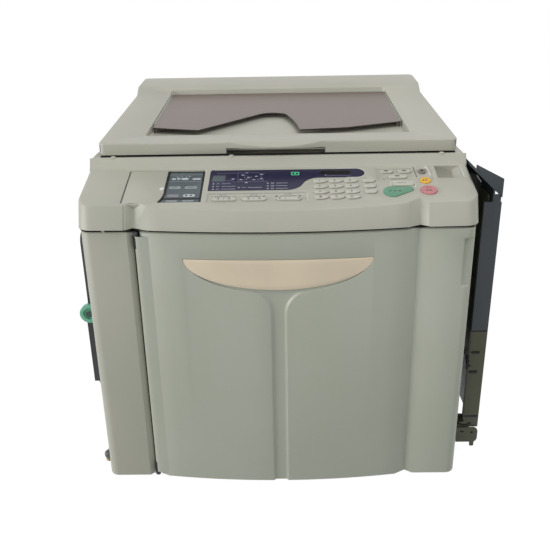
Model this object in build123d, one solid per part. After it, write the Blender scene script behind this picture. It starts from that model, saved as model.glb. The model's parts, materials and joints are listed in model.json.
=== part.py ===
import os
from math import atan, cos, degrees, radians, sin, sqrt
from build123d import *

os.makedirs("parts", exist_ok=True)

# A digital duplicator: paper is fed on the left, printed by a drum behind the front door, and stacked on the right.
# Millimetres, +Z up, X to the viewer's right, Y away from the viewer, origin on the floor under the middle.

# Body
body_half_width = 325.0
front_flat = -312.0
rear_outer = 335.0
wall = 3.0
foot_height = 10.0
foot_radius = 22.0
foot_inset = 55.0
foot_front_y = -235.0
foot_rear_y = 290.0
cover_bottom = 3.0
cover_top = 488.5
upper_bottom = 493.0
seat_gap = 0.3
frame_sheet = 3.0
front_plate_y = -262.0
rear_plate_y = 250.0
paper_centre_y = -20.0
paper_width = 297.0

# Front outline, seen from above: column, groove, bulged panel, groove, flat, rounded corner
gap_left = -238.0
door_left = -234.0
groove_depth = 9.0
column_edge = -247.0
panel_left = -212.0
panel_right = 212.0
right_groove_x = 232.0
flat_start = 245.0
panel_side_step = 3.0
panel_bulge = 16.0
body_corner = 18.0
door_skin = 6.5
door_back = -285.0
door_rim = 4.0

# Door details
channel_half = 13.5
channel_depth = 4.0
channel_taper = 45.0
channel_top = 345.0
flare_half = 55.0
flare_top = 388.0
plate_half = 157.0
plate_top = 444.0
plate_drop = 54.0
plate_recess = 1.5
ledge_width = 6.0
ledge_inset = 3.0
ledge_depth = 3.0
door_grip_x = 313.0
door_grip_width = 16.0
door_grip_low = 384.0
door_grip_high = 470.0
door_grip_depth = 5.0
door_pin_x = -233.0
door_pin_y = -308.0
door_pin_radius = 2.0
door_knuckle_radius = 4.5
door_lug_height = 7.0
door_knuckle_length = 22.0
pin_clearance = 0.05

# Console
console_proud = 4.0
console_corner = 25.0
console_edge_z = 531.0
console_edge_y = -300.0
console_slope = 0.2667
console_step_y = -186.0
console_back = -178.0
console_lean = 0.434
console_round = 4.0
deck_z = 580.0

# Control panel
key_rise = 2.0
key_gap = 0.35
key_flange = 0.8
key_flange_thick = 1.2
key_edge_round = 0.7
key_long = 24.0
key_wide = 10.0
key_columns = (72.0, 98.0, 124.0)
key_rows = (-236.0, -253.0, -270.0, -286.0)
side_key_x = 154.0
side_key_rows = (-236.0, -253.0, -270.0)
side_key_long = 21.0
rocker_centres = (-87.5, -38.0, 19.5)
rocker_y = -288.0
rocker_long = 40.0
rocker_wide = 9.0
rocker_hold = 4.0
rocker_drop = 0.8
upper_keys = ((187.0, -207.0, 23.0), (218.0, -207.0, 23.0), (204.0, -224.5, 32.0))
round_key = (248.0, -208.0)
round_key_radius = 6.5
proof_key = (210.5, -248.0)
proof_long = 37.0
proof_wide = 11.0
start_bulb = (190.0, -272.0)
start_bulb_radius = 14.5
start_tip = (221.0, -264.0)
start_tip_radius = 4.0
reset_key = (249.0, -238.0)
reset_radius = 9.0
stop_key = (250.0, -268.0)
stop_radius = 13.5
window_thick = 1.2
window_recess = 1.5
window_fit = 0.3
sub_left = -257.0
sub_right = -125.0
sub_rear = -192.0
sub_front = -294.0
sub_recess = 4.6
sub_cover_thick = 2.0
sub_cover_left = -255.0
sub_cover_right = -190.0
function_frame = (-115.0, 51.0, -296.0, -270.0)
upper_frame = (169.0, 264.0, -232.0, -190.0)
frame_depth = 0.8
clip_tray = (272.0, 317.0, -229.0, -189.0)
clip_tray_depth = 9.0
clip_ramp = 14.0
sub_tab_y = -254.0
sub_tab_half = 7.0

# Scanner
glass_half_x = 226.0
glass_front = -100.0
glass_rear = 216.0
glass_thick = 4.0
glass_ledge = 6.0
rod_radius = 4.0
rod_front_y = -55.0
rod_rear_y = 171.0
rod_z = 520.0
carriage_width = 46.0
carriage_rest_x = -205.0
carriage_top = 566.0

# Lid
lid_half_x = 314.0
lid_front = -175.0
lid_rear = 321.0
lid_bottom = 584.0
lid_lip_top = 604.5
lid_kink = (204.0, 630.0)
lid_shoulder = (231.0, 645.5)
lid_top_rear = 652.0
lid_corner = 12.0
lid_edge_round = 3.0
pocket_half_x = 238.0
pocket_front = -128.0
pocket_rear = 218.0
pocket_depth = 13.0
pocket_corner = 8.0
sheet_half_x = 234.0
sheet_rear = 215.0
sheet_sink = 2.5
sheet_thick = 2.0
sheet_ledge = 9.0
ledge_front = -30.0
grip_left = -89.0
grip_right = 84.0
grip_gap_top = 593.5
grip_bulge = 8.0
pad_margin = 6.0
pad_thick = 6.0
lid_base = 2.5
hinge_y = 315.0
hinge_z = 592.0
hinge_x = 220.0
hinge_pin_radius = 4.0
hinge_knuckle_half = 13.0
hinge_ear = 5.0
hinge_ear_front = 8.0
hinge_ear_rear = 5.0
hinge_foot = 1.2
hinge_play = 0.5

# Feed side, left: the tray's depths are measured outwards from its hinge line
feed_hinge_gap = 25.0
feed_hinge_z = 130.0
feed_half_y = 160.0
feed_top = 440.0
feed_depth = 15.0
feed_bracket_depth = 21.0
feed_bracket_top = 302.0
feed_bracket_width = 24.0
feed_plate = 3.0
feed_rim = 18.0
feed_arm = 14.0
hinge_barrel = 12.0
tray_pin_radius = 5.0
tray_pin_length = 11.0
feed_mouth_low = 142.0
feed_mouth_high = 264.0
guide_height = 40.0
guide_thick = 3.0
guide_low = 156.0
guide_high = 250.0
guide_foot = 22.0
dial_depth = 11.5
dial_z = 283.0
dial_radius = 18.5
dial_thick = 11.0
dial_shaft = 4.0
dial_shaft_length = 10.0

# Receiving side, right: the tray's depths are measured outwards from its hinge line
out_hinge_gap = 25.0
out_hinge_z = 62.0
out_half_y = 230.0
out_top = 536.0
out_plate_depth = 12.0
out_plate = 3.0
out_rim_width = 13.0
out_slat_proud = 2.0
out_slat_half = 12.0
out_flange_reach = 14.0
out_flange_thick = 6.0
out_flange_top = 512.0
out_arm = 14.0
out_ear_low = 21.0
out_ear_over = 2.0
out_foot_high = 34.0
out_mouth_low = 150.0
out_mouth_high = 300.0
cap_gap = 7.0
cap_high = 568.0
cap_low = 525.0
cap_drop = 5.5
cap_end_rise = 9.0
cap_end_thick = 3.0
cheek_inset = 1.5
cheek_thick = 3.0
fence_high = 62.0
fence_thick = 3.0
fence_low_z = 190.0
fence_top_z = 520.0
fence_pin_radius = 1.4
fence_lug = 8.0
stop_half_y = 60.0
stop_z = 520.0
stop_thick = 4.0
stop_gap = 8.0
stop_back = 40.0
stop_slot_half = 5.0
stop_slot_low = 270.0
stop_slot_high = 524.0

# Drum and what turns beside it
drum_x = 46.0
drum_z = 262.0
drum_radius = 90.0
drum_skin = 2.0
drum_front = -252.0
drum_rear = 150.0
drum_disc = 8.0
core_radius = 56.0
core_wall = 4.0
ink_radius = 50.0
ink_cap = 12.0
carrier_half = 96.0
carrier_front = -276.0
carrier_plate = 4.0
drum_air = 4.0
rail_half = 8.0
rail_height = 12.0
rail_rear = 190.0
bay_margin = 6.0
nip_gap = 0.6
pressure_radius = 28.0
journal_radius = 8.0
feed_roller_x = -255.0
feed_roller_z = 250.0
feed_roller_radius = 20.0
feed_roller_half = 45.0
feed_shaft_radius = 5.0
master_x = 205.0
master_z = 425.0
master_radius = 38.0
master_half = 150.0
master_core = 12.0
box_depth = 205.0
box_half_y = 120.0
box_low = 304.0
box_high = 424.0
box_wall = 2.5
box_grip_high = 26.0
motor_x = -120.0
motor_z = 150.0
motor_radius = 34.0
motor_length = 66.0
motor_flange = 4.0

# Power switch and vents
switch_y = 268.0
switch_z = 120.0
switch_long = 30.0
switch_wide = 20.0
switch_play = 2.5
vent_rows = 9
vent_pitch = 14.0
vent_high = 4.0
vent_long = 150.0

side_inner = body_half_width - wall
feed_hinge_x = -body_half_width - feed_hinge_gap
feed_outer = feed_hinge_x - feed_depth
dial_x = feed_hinge_x - dial_depth
out_hinge_x = body_half_width + out_hinge_gap
out_plate_x = out_hinge_x + out_plate_depth
out_rim = out_plate_x + out_plate + out_rim_width
slope_angle = degrees(atan(console_slope))
panel_loc = Plane(
    origin=(0, console_edge_y, console_edge_z),
    x_dir=(1, 0, 0),
    z_dir=(0, -sin(radians(slope_angle)), cos(radians(slope_angle))),
).location


def block(x0, x1, y0, y1, z0, z1):
    return Pos((x0 + x1) / 2, (y0 + y1) / 2, (z0 + z1) / 2) * Box(x1 - x0, y1 - y0, z1 - z0)


def rod_along_x(x0, x1, y, z, radius):
    return Pos((x0 + x1) / 2, y, z) * Rot(0, 90, 0) * Cylinder(radius, x1 - x0)


def rod_along_y(x, y0, y1, z, radius):
    return Pos(x, (y0 + y1) / 2, z) * Rot(90, 0, 0) * Cylinder(radius, y1 - y0)


def rod_along_z(x, y, z0, z1, radius):
    return Pos(x, y, (z0 + z1) / 2) * Cylinder(radius, z1 - z0)


def side_prism(points, x0, x1):
    # A closed outline in Y and Z, drawn out along X
    corners = [Vector(x0, y, z) for y, z in points]
    return extrude(make_face(Polyline(*corners, close=True)), amount=x1 - x0, dir=(1, 0, 0))


def front_prism(points, y0, y1):
    # A closed outline in X and Z, drawn out along Y
    corners = [Vector(x, y0, z) for x, z in points]
    return extrude(make_face(Polyline(*corners, close=True)), amount=y1 - y0, dir=(0, 1, 0))


def save(shape, name):
    export_step(shape, f"parts/{name}.step")


# Front surface

def panel_edge(inset):
    # The bulged panel between the grooves: its left end, crown and right end, moved inwards by inset
    y = front_flat - panel_side_step + inset
    return (panel_left, y), ((panel_left + panel_right) / 2, y - panel_bulge), (panel_right, y)


def door_face():
    # The door's plan: everything between its outer line and a straight back line
    deep = front_flat + groove_depth
    side = body_half_width
    start, crown, end = panel_edge(0)
    return make_face([
        Line((door_left, door_back), (door_left, deep)),
        Line((door_left, deep), start),
        ThreePointArc(start, crown, end),
        Line(end, (right_groove_x, deep)),
        Line((right_groove_x, deep), (flat_start, front_flat)),
        Line((flat_start, front_flat), (side - body_corner, front_flat)),
        RadiusArc((side - body_corner, front_flat), (side, front_flat + body_corner), -body_corner),
        Line((side, front_flat + body_corner), (side, door_back)),
        Line((side, door_back), (door_left, door_back)),
    ])


def console_face():
    # The console's plan before its grooves are cut
    flat = front_flat - console_proud
    side = body_half_width + console_proud
    corner = console_corner
    start, crown, end = panel_edge(-console_proud)
    return make_face([
        Line((-side, console_back), (-side, flat + corner)),
        RadiusArc((-side, flat + corner), (-side + corner, flat), -corner),
        Line((-side + corner, flat), start),
        ThreePointArc(start, crown, end),
        Line(end, (side - corner, flat)),
        RadiusArc((side - corner, flat), (side, flat + corner), -corner),
        Line((side, flat + corner), (side, console_back)),
        Line((side, console_back), (-side, console_back)),
    ])


def console_grooves():
    # The two upright coves that run on from the door into the console
    flat = front_flat - console_proud
    deep = flat + groove_depth
    start, crown, end = panel_edge(-console_proud)
    left = [(column_edge, flat), (gap_left, deep), (door_left, deep), start, (panel_left, 2 * flat),
            (column_edge - console_proud, 2 * flat), (column_edge - console_proud, flat)]
    right = [end, (right_groove_x, deep), (flat_start, flat), (flat_start, 2 * flat), (panel_right, 2 * flat)]
    coves = [leaning(make_face(Polyline(*line, close=True)), upper_bottom - 1, deck_z) for line in (left, right)]
    return coves[0] + coves[1]


def panel_skin(depth, low, high):
    # The outermost layer of the bulged panel, as deep as given
    outer = panel_edge(-2 * wall)
    inner = panel_edge(depth)
    edges = [ThreePointArc(*outer), Line(outer[2], inner[2]), ThreePointArc(*inner), Line(inner[0], outer[0])]
    return extrude(Pos(0, 0, low) * make_face(edges), amount=high - low, dir=(0, 0, 1))


def half_ellipse(half, drop):
    # The nameplate's form: a straight top edge and a half ellipse below it, drawn out through the whole front
    arc = EllipticalCenterArc((0, plate_top), half, drop, start_angle=180, arc_size=180)
    face = make_face([arc, Line((half, plate_top), (-half, plate_top))])
    return extrude(Plane.XZ * face, amount=-2 * front_flat, dir=(0, -1, 0))


def centre_channel():
    # The channel with sloping sides, which turn outwards into a flare below the nameplate
    half = channel_half
    below = cover_bottom - wall - channel_depth
    face = make_face([
        Line((-half, below), (half, below)),
        Line((half, below), (half, channel_top)),
        TangentArc((half, channel_top), (flare_half, flare_top), tangent=(0, 1)),
        Line((flare_half, flare_top), (flare_half, plate_top - wall)),
        Line((flare_half, plate_top - wall), (-flare_half, plate_top - wall)),
        Line((-flare_half, plate_top - wall), (-flare_half, flare_top)),
        TangentArc((-half, channel_top), (-flare_half, flare_top), tangent=(0, 1)),
        Line((-half, channel_top), (-half, below)),
    ])
    crown = panel_edge(0)[1][1]
    start = Plane(origin=(0, crown, 0), x_dir=(-1, 0, 0), z_dir=(0, 1, 0))
    return extrude(start * face, amount=channel_depth, taper=channel_taper)


def make_front_door():
    low = cover_bottom
    high = cover_top
    door = extrude(Pos(0, 0, low) * door_face(), amount=high - low, dir=(0, 0, 1))
    inner = panel_edge(door_skin)
    inner_left = panel_left + door_rim
    inner_right = panel_right - door_rim
    bay = make_face([
        ThreePointArc((inner_left, inner[0][1]), inner[1], (inner_right, inner[2][1])),
        Line((inner_right, inner[2][1]), (inner_right, door_back)),
        Line((inner_right, door_back), (inner_left, door_back)),
        Line((inner_left, door_back), (inner_left, inner[0][1])),
    ])
    door -= extrude(Pos(0, 0, low + door_rim) * bay, amount=high - low - 2 * door_rim, dir=(0, 0, 1))
    door -= block(flat_start, body_half_width - door_rim - body_corner / 2, front_flat + 2 * door_rim, door_back,
                  low + door_rim, high - door_rim)
    # Centre channel, its flare and the ledge that goes on below the nameplate
    plate = half_ellipse(plate_half, plate_drop)
    ledge = half_ellipse(plate_half - ledge_inset, plate_drop + ledge_width)
    door -= centre_channel() - plate
    door -= (ledge - plate) & panel_skin(ledge_depth, low, high)
    door -= plate & panel_skin(plate_recess, low, high)
    # Finger recess at the opening edge
    grip = block(door_grip_x - door_grip_width / 2, door_grip_x + door_grip_width / 2, front_flat - wall,
                 front_flat + door_grip_depth, door_grip_low, door_grip_high)
    door -= grip
    # Hinge knuckles at the two ends of the left edge
    step = door_lug_height + 2 * seat_gap
    notch = door_pin_x + door_knuckle_radius + 1
    door -= block(door_left - wall, notch, 2 * front_flat, door_back + wall, low - wall, low + step)
    door -= block(door_left - wall, notch, 2 * front_flat, door_back + wall, high - step, high + wall)
    ends = ((low + step, low + step + door_knuckle_length), (high - step - door_knuckle_length, high - step))
    for z0, z1 in ends:
        knuckle = rod_along_z(door_pin_x, door_pin_y, z0, z1, door_knuckle_radius)
        knuckle += block(door_pin_x, panel_left, door_pin_y, front_flat + groove_depth + wall, z0, z1)
        door += knuckle - rod_along_z(door_pin_x, door_pin_y, z0, z1, door_pin_radius + pin_clearance)
        door -= rod_along_z(door_pin_x, door_pin_y, z0, z1, door_pin_radius + pin_clearance)
    return door


def make_left_cover():
    side = -body_half_width
    flat = front_flat
    outline = make_face([
        Line((side, rear_outer - wall), (side, flat + body_corner)),
        RadiusArc((side, flat + body_corner), (side + body_corner, flat), -body_corner),
        Line((side + body_corner, flat), (column_edge, flat)),
        Line((column_edge, flat), (gap_left, flat + groove_depth)),
        Line((gap_left, flat + groove_depth), (gap_left, door_back)),
        Line((gap_left, door_back), (gap_left - wall, door_back)),
        Line((gap_left - wall, door_back), (gap_left - wall, flat + groove_depth + wall)),
        Line((gap_left - wall, flat + groove_depth + wall), (column_edge - wall, flat + wall)),
        Line((column_edge - wall, flat + wall), (side + body_corner, flat + wall)),
        RadiusArc((side + body_corner, flat + wall), (side + wall, flat + body_corner), body_corner - wall),
        Line((side + wall, flat + body_corner), (side + wall, rear_outer - wall)),
        Line((side + wall, rear_outer - wall), (side, rear_outer - wall)),
    ])
    cover = extrude(Pos(0, 0, cover_bottom) * outline, amount=cover_top - cover_bottom, dir=(0, 0, 1))
    # Mouth where the paper goes in, and the opening of the disposal box above it
    mouth_half = paper_width / 2 + 2 * guide_thick + guide_foot / 2
    cover -= block(side - wall, side + 2 * wall, paper_centre_y - mouth_half, paper_centre_y + mouth_half,
                   feed_mouth_low, feed_mouth_high)
    cover -= block(side - wall, side + 2 * wall, paper_centre_y - box_half_y - 1, paper_centre_y + box_half_y + 1,
                   box_low - 1, box_high + 1)
    # Ears and pins that carry the feed tray
    for way in (-1, 1):
        outer_y = paper_centre_y + way * (feed_half_y - feed_arm - seat_gap)
        inner_y = outer_y - way * feed_arm
        y0, y1 = sorted((outer_y, inner_y))
        cover += rod_along_y(feed_hinge_x, y0, y1, feed_hinge_z, hinge_barrel)
        cover += block(feed_hinge_x, side + wall / 2, y0, y1, feed_hinge_z - hinge_barrel, feed_hinge_z)
        p0, p1 = sorted((inner_y, outer_y + way * tray_pin_length))
        cover += rod_along_y(feed_hinge_x, p0, p1, feed_hinge_z, tray_pin_radius)
    # Lugs and pins of the front door, at the foot and the head of the gap
    low = cover_bottom
    high = cover_top
    for z0, z1, tip in ((low, low + door_lug_height, 1), (high - door_lug_height, high, -1)):
        lug = rod_along_z(door_pin_x, door_pin_y, z0, z1, door_knuckle_radius)
        lug += block(gap_left - wall / 2, door_pin_x, door_pin_y, front_flat + groove_depth + wall, z0, z1)
        pin_end = z1 + tip * door_knuckle_length / 2 if tip > 0 else z0 + tip * door_knuckle_length / 2
        p0, p1 = sorted(((z0 + z1) / 2, pin_end))
        cover += lug + rod_along_z(door_pin_x, door_pin_y, p0, p1, door_pin_radius)
    return cover


def make_right_cover():
    side = body_half_width
    cover = block(side - wall, side, door_back + 2, rear_outer - wall, cover_bottom, cover_top)
    mouth_half = paper_width / 2 + 2 * guide_thick
    cover -= block(side - 2 * wall, side + wall, paper_centre_y - mouth_half, paper_centre_y + mouth_half,
                   out_mouth_low, out_mouth_high)
    cover -= block(side - 2 * wall, side + wall, switch_y - switch_wide / 2 - key_gap,
                   switch_y + switch_wide / 2 + key_gap, switch_z - switch_long / 2 - switch_play,
                   switch_z + switch_long / 2 + switch_play)
    for way in (-1, 1):
        outer_y = paper_centre_y + way * (out_half_y - out_arm - seat_gap)
        inner_y = outer_y - way * out_arm
        y0, y1 = sorted((outer_y, inner_y))
        cover += rod_along_y(out_hinge_x, y0, y1, out_hinge_z, hinge_barrel)
        cover += block(side - wall / 2, out_hinge_x + out_ear_over, y0, y1, out_ear_low, out_hinge_z + hinge_barrel)
        # Foot of the bracket, clear of the tray when that swings down
        cover += block(side - wall / 2, out_rim, y0, y1, out_ear_low, out_foot_high)
        p0, p1 = sorted((inner_y, outer_y + way * tray_pin_length))
        cover += rod_along_y(out_hinge_x, p0, p1, out_hinge_z, tray_pin_radius)
    return cover


def make_rear_cover():
    cover = block(-body_half_width, body_half_width, rear_outer - wall, rear_outer, cover_bottom, cover_top)
    for centre in (-170, 170):
        for row in range(vent_rows):
            z = cover_top - 90 - row * vent_pitch
            cover -= block(centre - vent_long / 2, centre + vent_long / 2, rear_outer - 2 * wall, rear_outer + wall,
                           z - vent_high / 2, z + vent_high / 2)
    return cover


def make_main_frame():
    # One weldment: base, front and rear plates, the box shelf and the drum rail
    half = side_inner - seat_gap
    front = front_plate_y
    rear = rear_plate_y + frame_sheet
    frame = block(-half, half, front, rear_outer - wall - seat_gap, foot_height, foot_height + frame_sheet)
    frame += block(-half, half, front, front + frame_sheet, foot_height, upper_bottom)
    frame += block(-half, half, rear_plate_y, rear, foot_height, upper_bottom)
    shelf_end = -body_half_width + box_depth + 3 * wall
    frame += block(-half, shelf_end, front, rear, box_low - seat_gap - frame_sheet, box_low - seat_gap)
    rail_low = drum_z + drum_radius + drum_air
    rail_top = rail_low + rail_height + seat_gap
    outer = rail_half + seat_gap + frame_sheet
    rail = block(drum_x - outer, drum_x + outer, front, rear, rail_low, rail_top + frame_sheet)
    # Drum bay through the front plate, as a round opening with a slot for the rail
    bay = rod_along_y(drum_x, front - wall, front + 2 * frame_sheet, drum_z, drum_radius + bay_margin)
    frame -= bay
    frame += rail
    frame -= block(drum_x - rail_half - seat_gap, drum_x + rail_half + seat_gap, front - wall,
                   rear_plate_y - wall, rail_low - drum_air / 2, rail_top)
    # Bores for the shafts
    pressure_z = drum_z - drum_radius - nip_gap - pressure_radius
    for x, z, radius in ((drum_x, pressure_z, journal_radius), (feed_roller_x, feed_roller_z, feed_shaft_radius),
                         (master_x, master_z, master_core)):
        frame -= rod_along_y(x, front - wall, rear + wall, z, radius + pin_clearance)
    return frame


def make_feet():
    feet = []
    for x in (foot_inset - body_half_width, body_half_width - foot_inset):
        for y in (foot_front_y, foot_rear_y):
            feet.append(rod_along_z(x, y, 0, foot_height, foot_radius))
    return Compound(children=feet)


# Console and its keys

def pill(long, wide):
    return SlotOverall(long, wide)


def pointed_pill(long, wide):
    radius = wide / 2
    tip = 0.3 * radius
    round_end = Pos(-long / 2 + radius, 0) * Circle(radius)
    middle = Pos(long / 2 - 1.8 * radius, 0) * Circle(radius)
    point = Pos(long / 2 - tip, 0) * Circle(tip)
    return make_hull(round_end.edges() + middle.edges() + point.edges())


def drop_shape(dx, dy):
    bulb = Circle(start_bulb_radius)
    point = Pos(dx, dy) * Circle(start_tip_radius)
    return make_hull(bulb.edges() + point.edges())


def along_slope(y):
    # A place on the panel, from its distance along Y
    return (y - console_edge_y) / cos(radians(slope_angle))


def key_list():
    keys = {}
    names = ("one", "two", "three", "four", "five", "six", "seven", "eight", "nine", "star", "zero", "clear")
    for place, name in enumerate(names):
        x = key_columns[place % 3]
        y = key_rows[place // 3]
        keys[f"key_{name}"] = (x, y, pointed_pill(key_long, key_wide))
    for place, y in enumerate(side_key_rows):
        keys[f"side_key_{place + 1}"] = (side_key_x, y, pill(side_key_long, key_wide))
    for place, (x, y, long) in enumerate(upper_keys):
        keys[f"upper_key_{place + 1}"] = (x, y, pill(long, key_wide))
    keys["upper_key_4"] = (round_key[0], round_key[1], Circle(round_key_radius))
    keys["proof_key"] = (proof_key[0], proof_key[1], pill(proof_long, proof_wide))
    tip = (start_tip[0] - start_bulb[0], start_tip[1] - start_bulb[1])
    keys["start_key"] = (start_bulb[0], start_bulb[1], drop_shape(*tip))
    keys["reset_key"] = (reset_key[0], reset_key[1], Circle(reset_radius))
    keys["stop_key"] = (stop_key[0], stop_key[1], Circle(stop_radius))
    for place, x in enumerate(rocker_centres):
        keys[f"function_rocker_{place + 1}"] = (x, rocker_y, pill(rocker_long, rocker_wide))
    return keys


def make_rocker(x, y, shape):
    # Tilts about its middle, so only its middle is held below the panel
    cap = extrude(Pos(0, 0, -wall - seat_gap) * shape, amount=wall + seat_gap + key_rise, dir=(0, 0, 1))
    cap = fillet(cap.faces().sort_by(Axis.Z)[-1].edges(), key_edge_round)
    lip = rocker_wide / 2 + key_flange
    cap += block(-rocker_hold, rocker_hold, -lip, lip, -wall - rocker_drop - key_flange_thick, -wall - rocker_drop)
    cap += block(-rocker_hold, rocker_hold, -lip / 2, lip / 2, -wall - rocker_drop - key_flange_thick, 0)
    return panel_loc * (Pos(x, along_slope(y), 0) * cap)


def make_key(x, y, shape):
    cap = extrude(shape, amount=wall + seat_gap + key_rise, dir=(0, 0, 1))
    cap = fillet(cap.faces().sort_by(Axis.Z)[-1].edges(), key_edge_round)
    flange = extrude(Pos(0, 0, -key_flange_thick) * offset(shape, key_flange), amount=key_flange_thick, dir=(0, 0, 1))
    key = Pos(0, 0, -wall - seat_gap) * (cap + flange)
    return panel_loc * (Pos(x, along_slope(y), 0) * key)


def display_outline(margin):
    # The display: a long bar whose right end is round, over a broad foot that ends in an S curve
    def at(x, y):
        return (x, along_slope(y))
    top = along_slope(-194) + margin
    bar = along_slope(-223) - margin
    foot = along_slope(-261) - margin
    left_top = (-109 - margin, top)
    left_low = (-116 - margin, foot)
    end_x = 135.0
    s_top = (72.0 + margin, bar)
    s_mid = (43.0 + margin, (bar + foot) / 2)
    s_low = (14.0 + margin, foot)
    upper_knee = (53.0 + margin, bar - 6.0)
    lower_knee = (33.0 + margin, foot + 6.0)
    return make_face([
        Line(left_top, (end_x, top)),
        ThreePointArc((end_x, top), (end_x + (top - bar) / 2, (top + bar) / 2), (end_x, bar)),
        Line((end_x, bar), s_top),
        ThreePointArc(s_top, upper_knee, s_mid),
        ThreePointArc(s_mid, lower_knee, s_low),
        Line(s_low, left_low),
        Line(left_low, left_top),
    ])


def panel_rect(x0, x1, y0, y1, z0, z1):
    v0 = along_slope(y0)
    v1 = along_slope(y1)
    return panel_loc * block(x0, x1, v0, v1, z0, z1)


def leaning(face, low, high):
    # A plan drawn up from low to high along the lean of the console's front
    start = Pos(0, console_lean * (low - upper_bottom), low) * face
    return extrude(start, amount=(high - low) * sqrt(1 + console_lean ** 2), dir=(0, console_lean, 1))


def sloped_body(face, low, lift, rear):
    # A plan drawn up from low, cut off at the rear and along the panel's slope, moved up or down by lift
    solid = leaning(face, low, deck_z + lift)
    solid -= block(-2 * body_half_width, 2 * body_half_width, rear, rear_outer, 0, 2 * deck_z)
    slope_y0 = front_flat * 2
    above = [
        (slope_y0, console_edge_z + lift + console_slope * (slope_y0 - console_edge_y)),
        (console_step_y, console_edge_z + lift + console_slope * (console_step_y - console_edge_y)),
        (console_back - 1, deck_z + lift),
        (console_back - 1, deck_z + 100),
        (slope_y0, deck_z + 100),
    ]
    return solid - side_prism(above, -2 * body_half_width, 2 * body_half_width)


def make_console_housing():
    body = sloped_body(console_face(), upper_bottom, 0, console_back)
    slope = [f for f in body.faces() if f.geom_type == GeomType.PLANE and 0.9 < f.normal_at().Z < 0.99]
    rim = [e for e in slope[0].edges() if e.center().Y < console_step_y - 1]
    body = fillet(rim, console_round)
    body -= console_grooves()
    # Hollow inside
    inner_half = body_half_width + console_proud - wall
    corner = console_corner - wall
    front_inner = front_flat - console_proud + wall
    inner_face = make_face([
        Line((-inner_half, console_back - wall), (-inner_half, front_inner + corner)),
        RadiusArc((-inner_half, front_inner + corner), (-inner_half + corner, front_inner), -corner),
        Line((-inner_half + corner, front_inner), (inner_half - corner, front_inner)),
        RadiusArc((inner_half - corner, front_inner), (inner_half, front_inner + corner), -corner),
        Line((inner_half, front_inner + corner), (inner_half, console_back - wall)),
        Line((inner_half, console_back - wall), (-inner_half, console_back - wall)),
    ])
    normal_wall = wall / cos(radians(slope_angle))
    cavity = sloped_body(inner_face, upper_bottom + wall, -normal_wall, console_back - wall)
    # Walls behind the two coves
    behind = front_inner + groove_depth
    for x0, x1 in ((column_edge - console_proud - wall, panel_left + wall), (panel_right - wall, flat_start + wall)):
        strip = Polyline((x0, 2 * front_flat), (x1, 2 * front_flat), (x1, behind), (x0, behind), close=True)
        cavity -= leaning(make_face(strip), upper_bottom, deck_z)
    body -= cavity
    # Wells that hang below the panel: sub panel and clip tray, whose right side is a ramp
    x0, x1, y0, y1 = clip_tray
    body += panel_rect(x0 - wall, x1 + wall, y0 - wall, y1 + wall, -clip_tray_depth - wall, -wall / 2)
    well = [(x0, wall), (x0, -clip_tray_depth), (x1 - clip_ramp, -clip_tray_depth), (x1, 0), (x1, wall)]
    body -= panel_loc * front_prism(well, along_slope(y0), along_slope(y1))
    body += panel_rect(sub_left - wall, sub_right + wall, sub_front - wall, sub_rear + wall, -sub_recess - wall,
                       -wall / 2)
    body -= panel_rect(sub_left, sub_right, sub_front, sub_rear, -sub_recess, wall)
    # Shallow frames round the function rockers and the upper keys
    body -= panel_rect(*function_frame, -frame_depth, wall)
    body -= panel_rect(*upper_frame, -frame_depth, wall)
    body -= panel_loc * extrude(Pos(0, 0, -window_recess) * display_outline(0), amount=2 * wall, dir=(0, 0, 1))
    for x, y, shape in key_list().values():
        hole = extrude(Pos(0, 0, -2 * wall) * offset(shape, key_gap), amount=4 * wall, dir=(0, 0, 1))
        body -= panel_loc * (Pos(x, along_slope(y), 0) * hole)
    return body


def make_panel_windows():
    display = extrude(Pos(0, 0, -window_recess) * display_outline(-window_fit), amount=window_thick, dir=(0, 0, 1))
    sub = block(sub_left + window_fit, sub_right - window_fit, along_slope(sub_front) + window_fit,
                along_slope(sub_rear) - window_fit, -sub_recess, -sub_recess + window_recess)
    return Compound(children=[panel_loc * display, panel_loc * sub])


def make_sub_panel_cover():
    low = -sub_recess + window_recess + seat_gap
    v0 = along_slope(sub_front) + window_fit
    v1 = along_slope(sub_rear) - window_fit
    cover = block(sub_cover_left, sub_cover_right, v0, v1, low, low + sub_cover_thick)
    tab_v = along_slope(sub_tab_y)
    cover += block(sub_cover_right - sub_tab_half, sub_cover_right - 1, tab_v - sub_tab_half, tab_v + sub_tab_half,
                   low, low + sub_cover_thick + 1)
    return panel_loc * cover


# Scanner and lid

def make_scanner_housing():
    half = body_half_width
    housing = block(-half, half, console_back, rear_outer, upper_bottom, deck_z)
    housing -= block(-half + wall, half - wall, console_back + wall, rear_outer - wall, upper_bottom + wall,
                     deck_z - wall)
    # Ledge and opening for the stage glass
    margin = seat_gap
    housing += block(-glass_half_x - 2 * wall, glass_half_x + 2 * wall, glass_front - 2 * wall,
                     glass_rear + 2 * wall, deck_z - glass_thick - wall, deck_z - wall / 2)
    housing -= block(-glass_half_x - margin, glass_half_x + margin, glass_front - margin, glass_rear + margin,
                     deck_z - glass_thick, deck_z + wall)
    housing -= block(-glass_half_x + glass_ledge, glass_half_x - glass_ledge, glass_front + glass_ledge,
                     glass_rear - glass_ledge, deck_z - 3 * glass_thick, deck_z + wall)
    return housing


def make_scan_rods():
    reach = body_half_width - wall
    rods = [rod_along_x(-reach, reach, y, rod_z, rod_radius) for y in (rod_front_y, rod_rear_y)]
    return Compound(children=rods)


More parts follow.
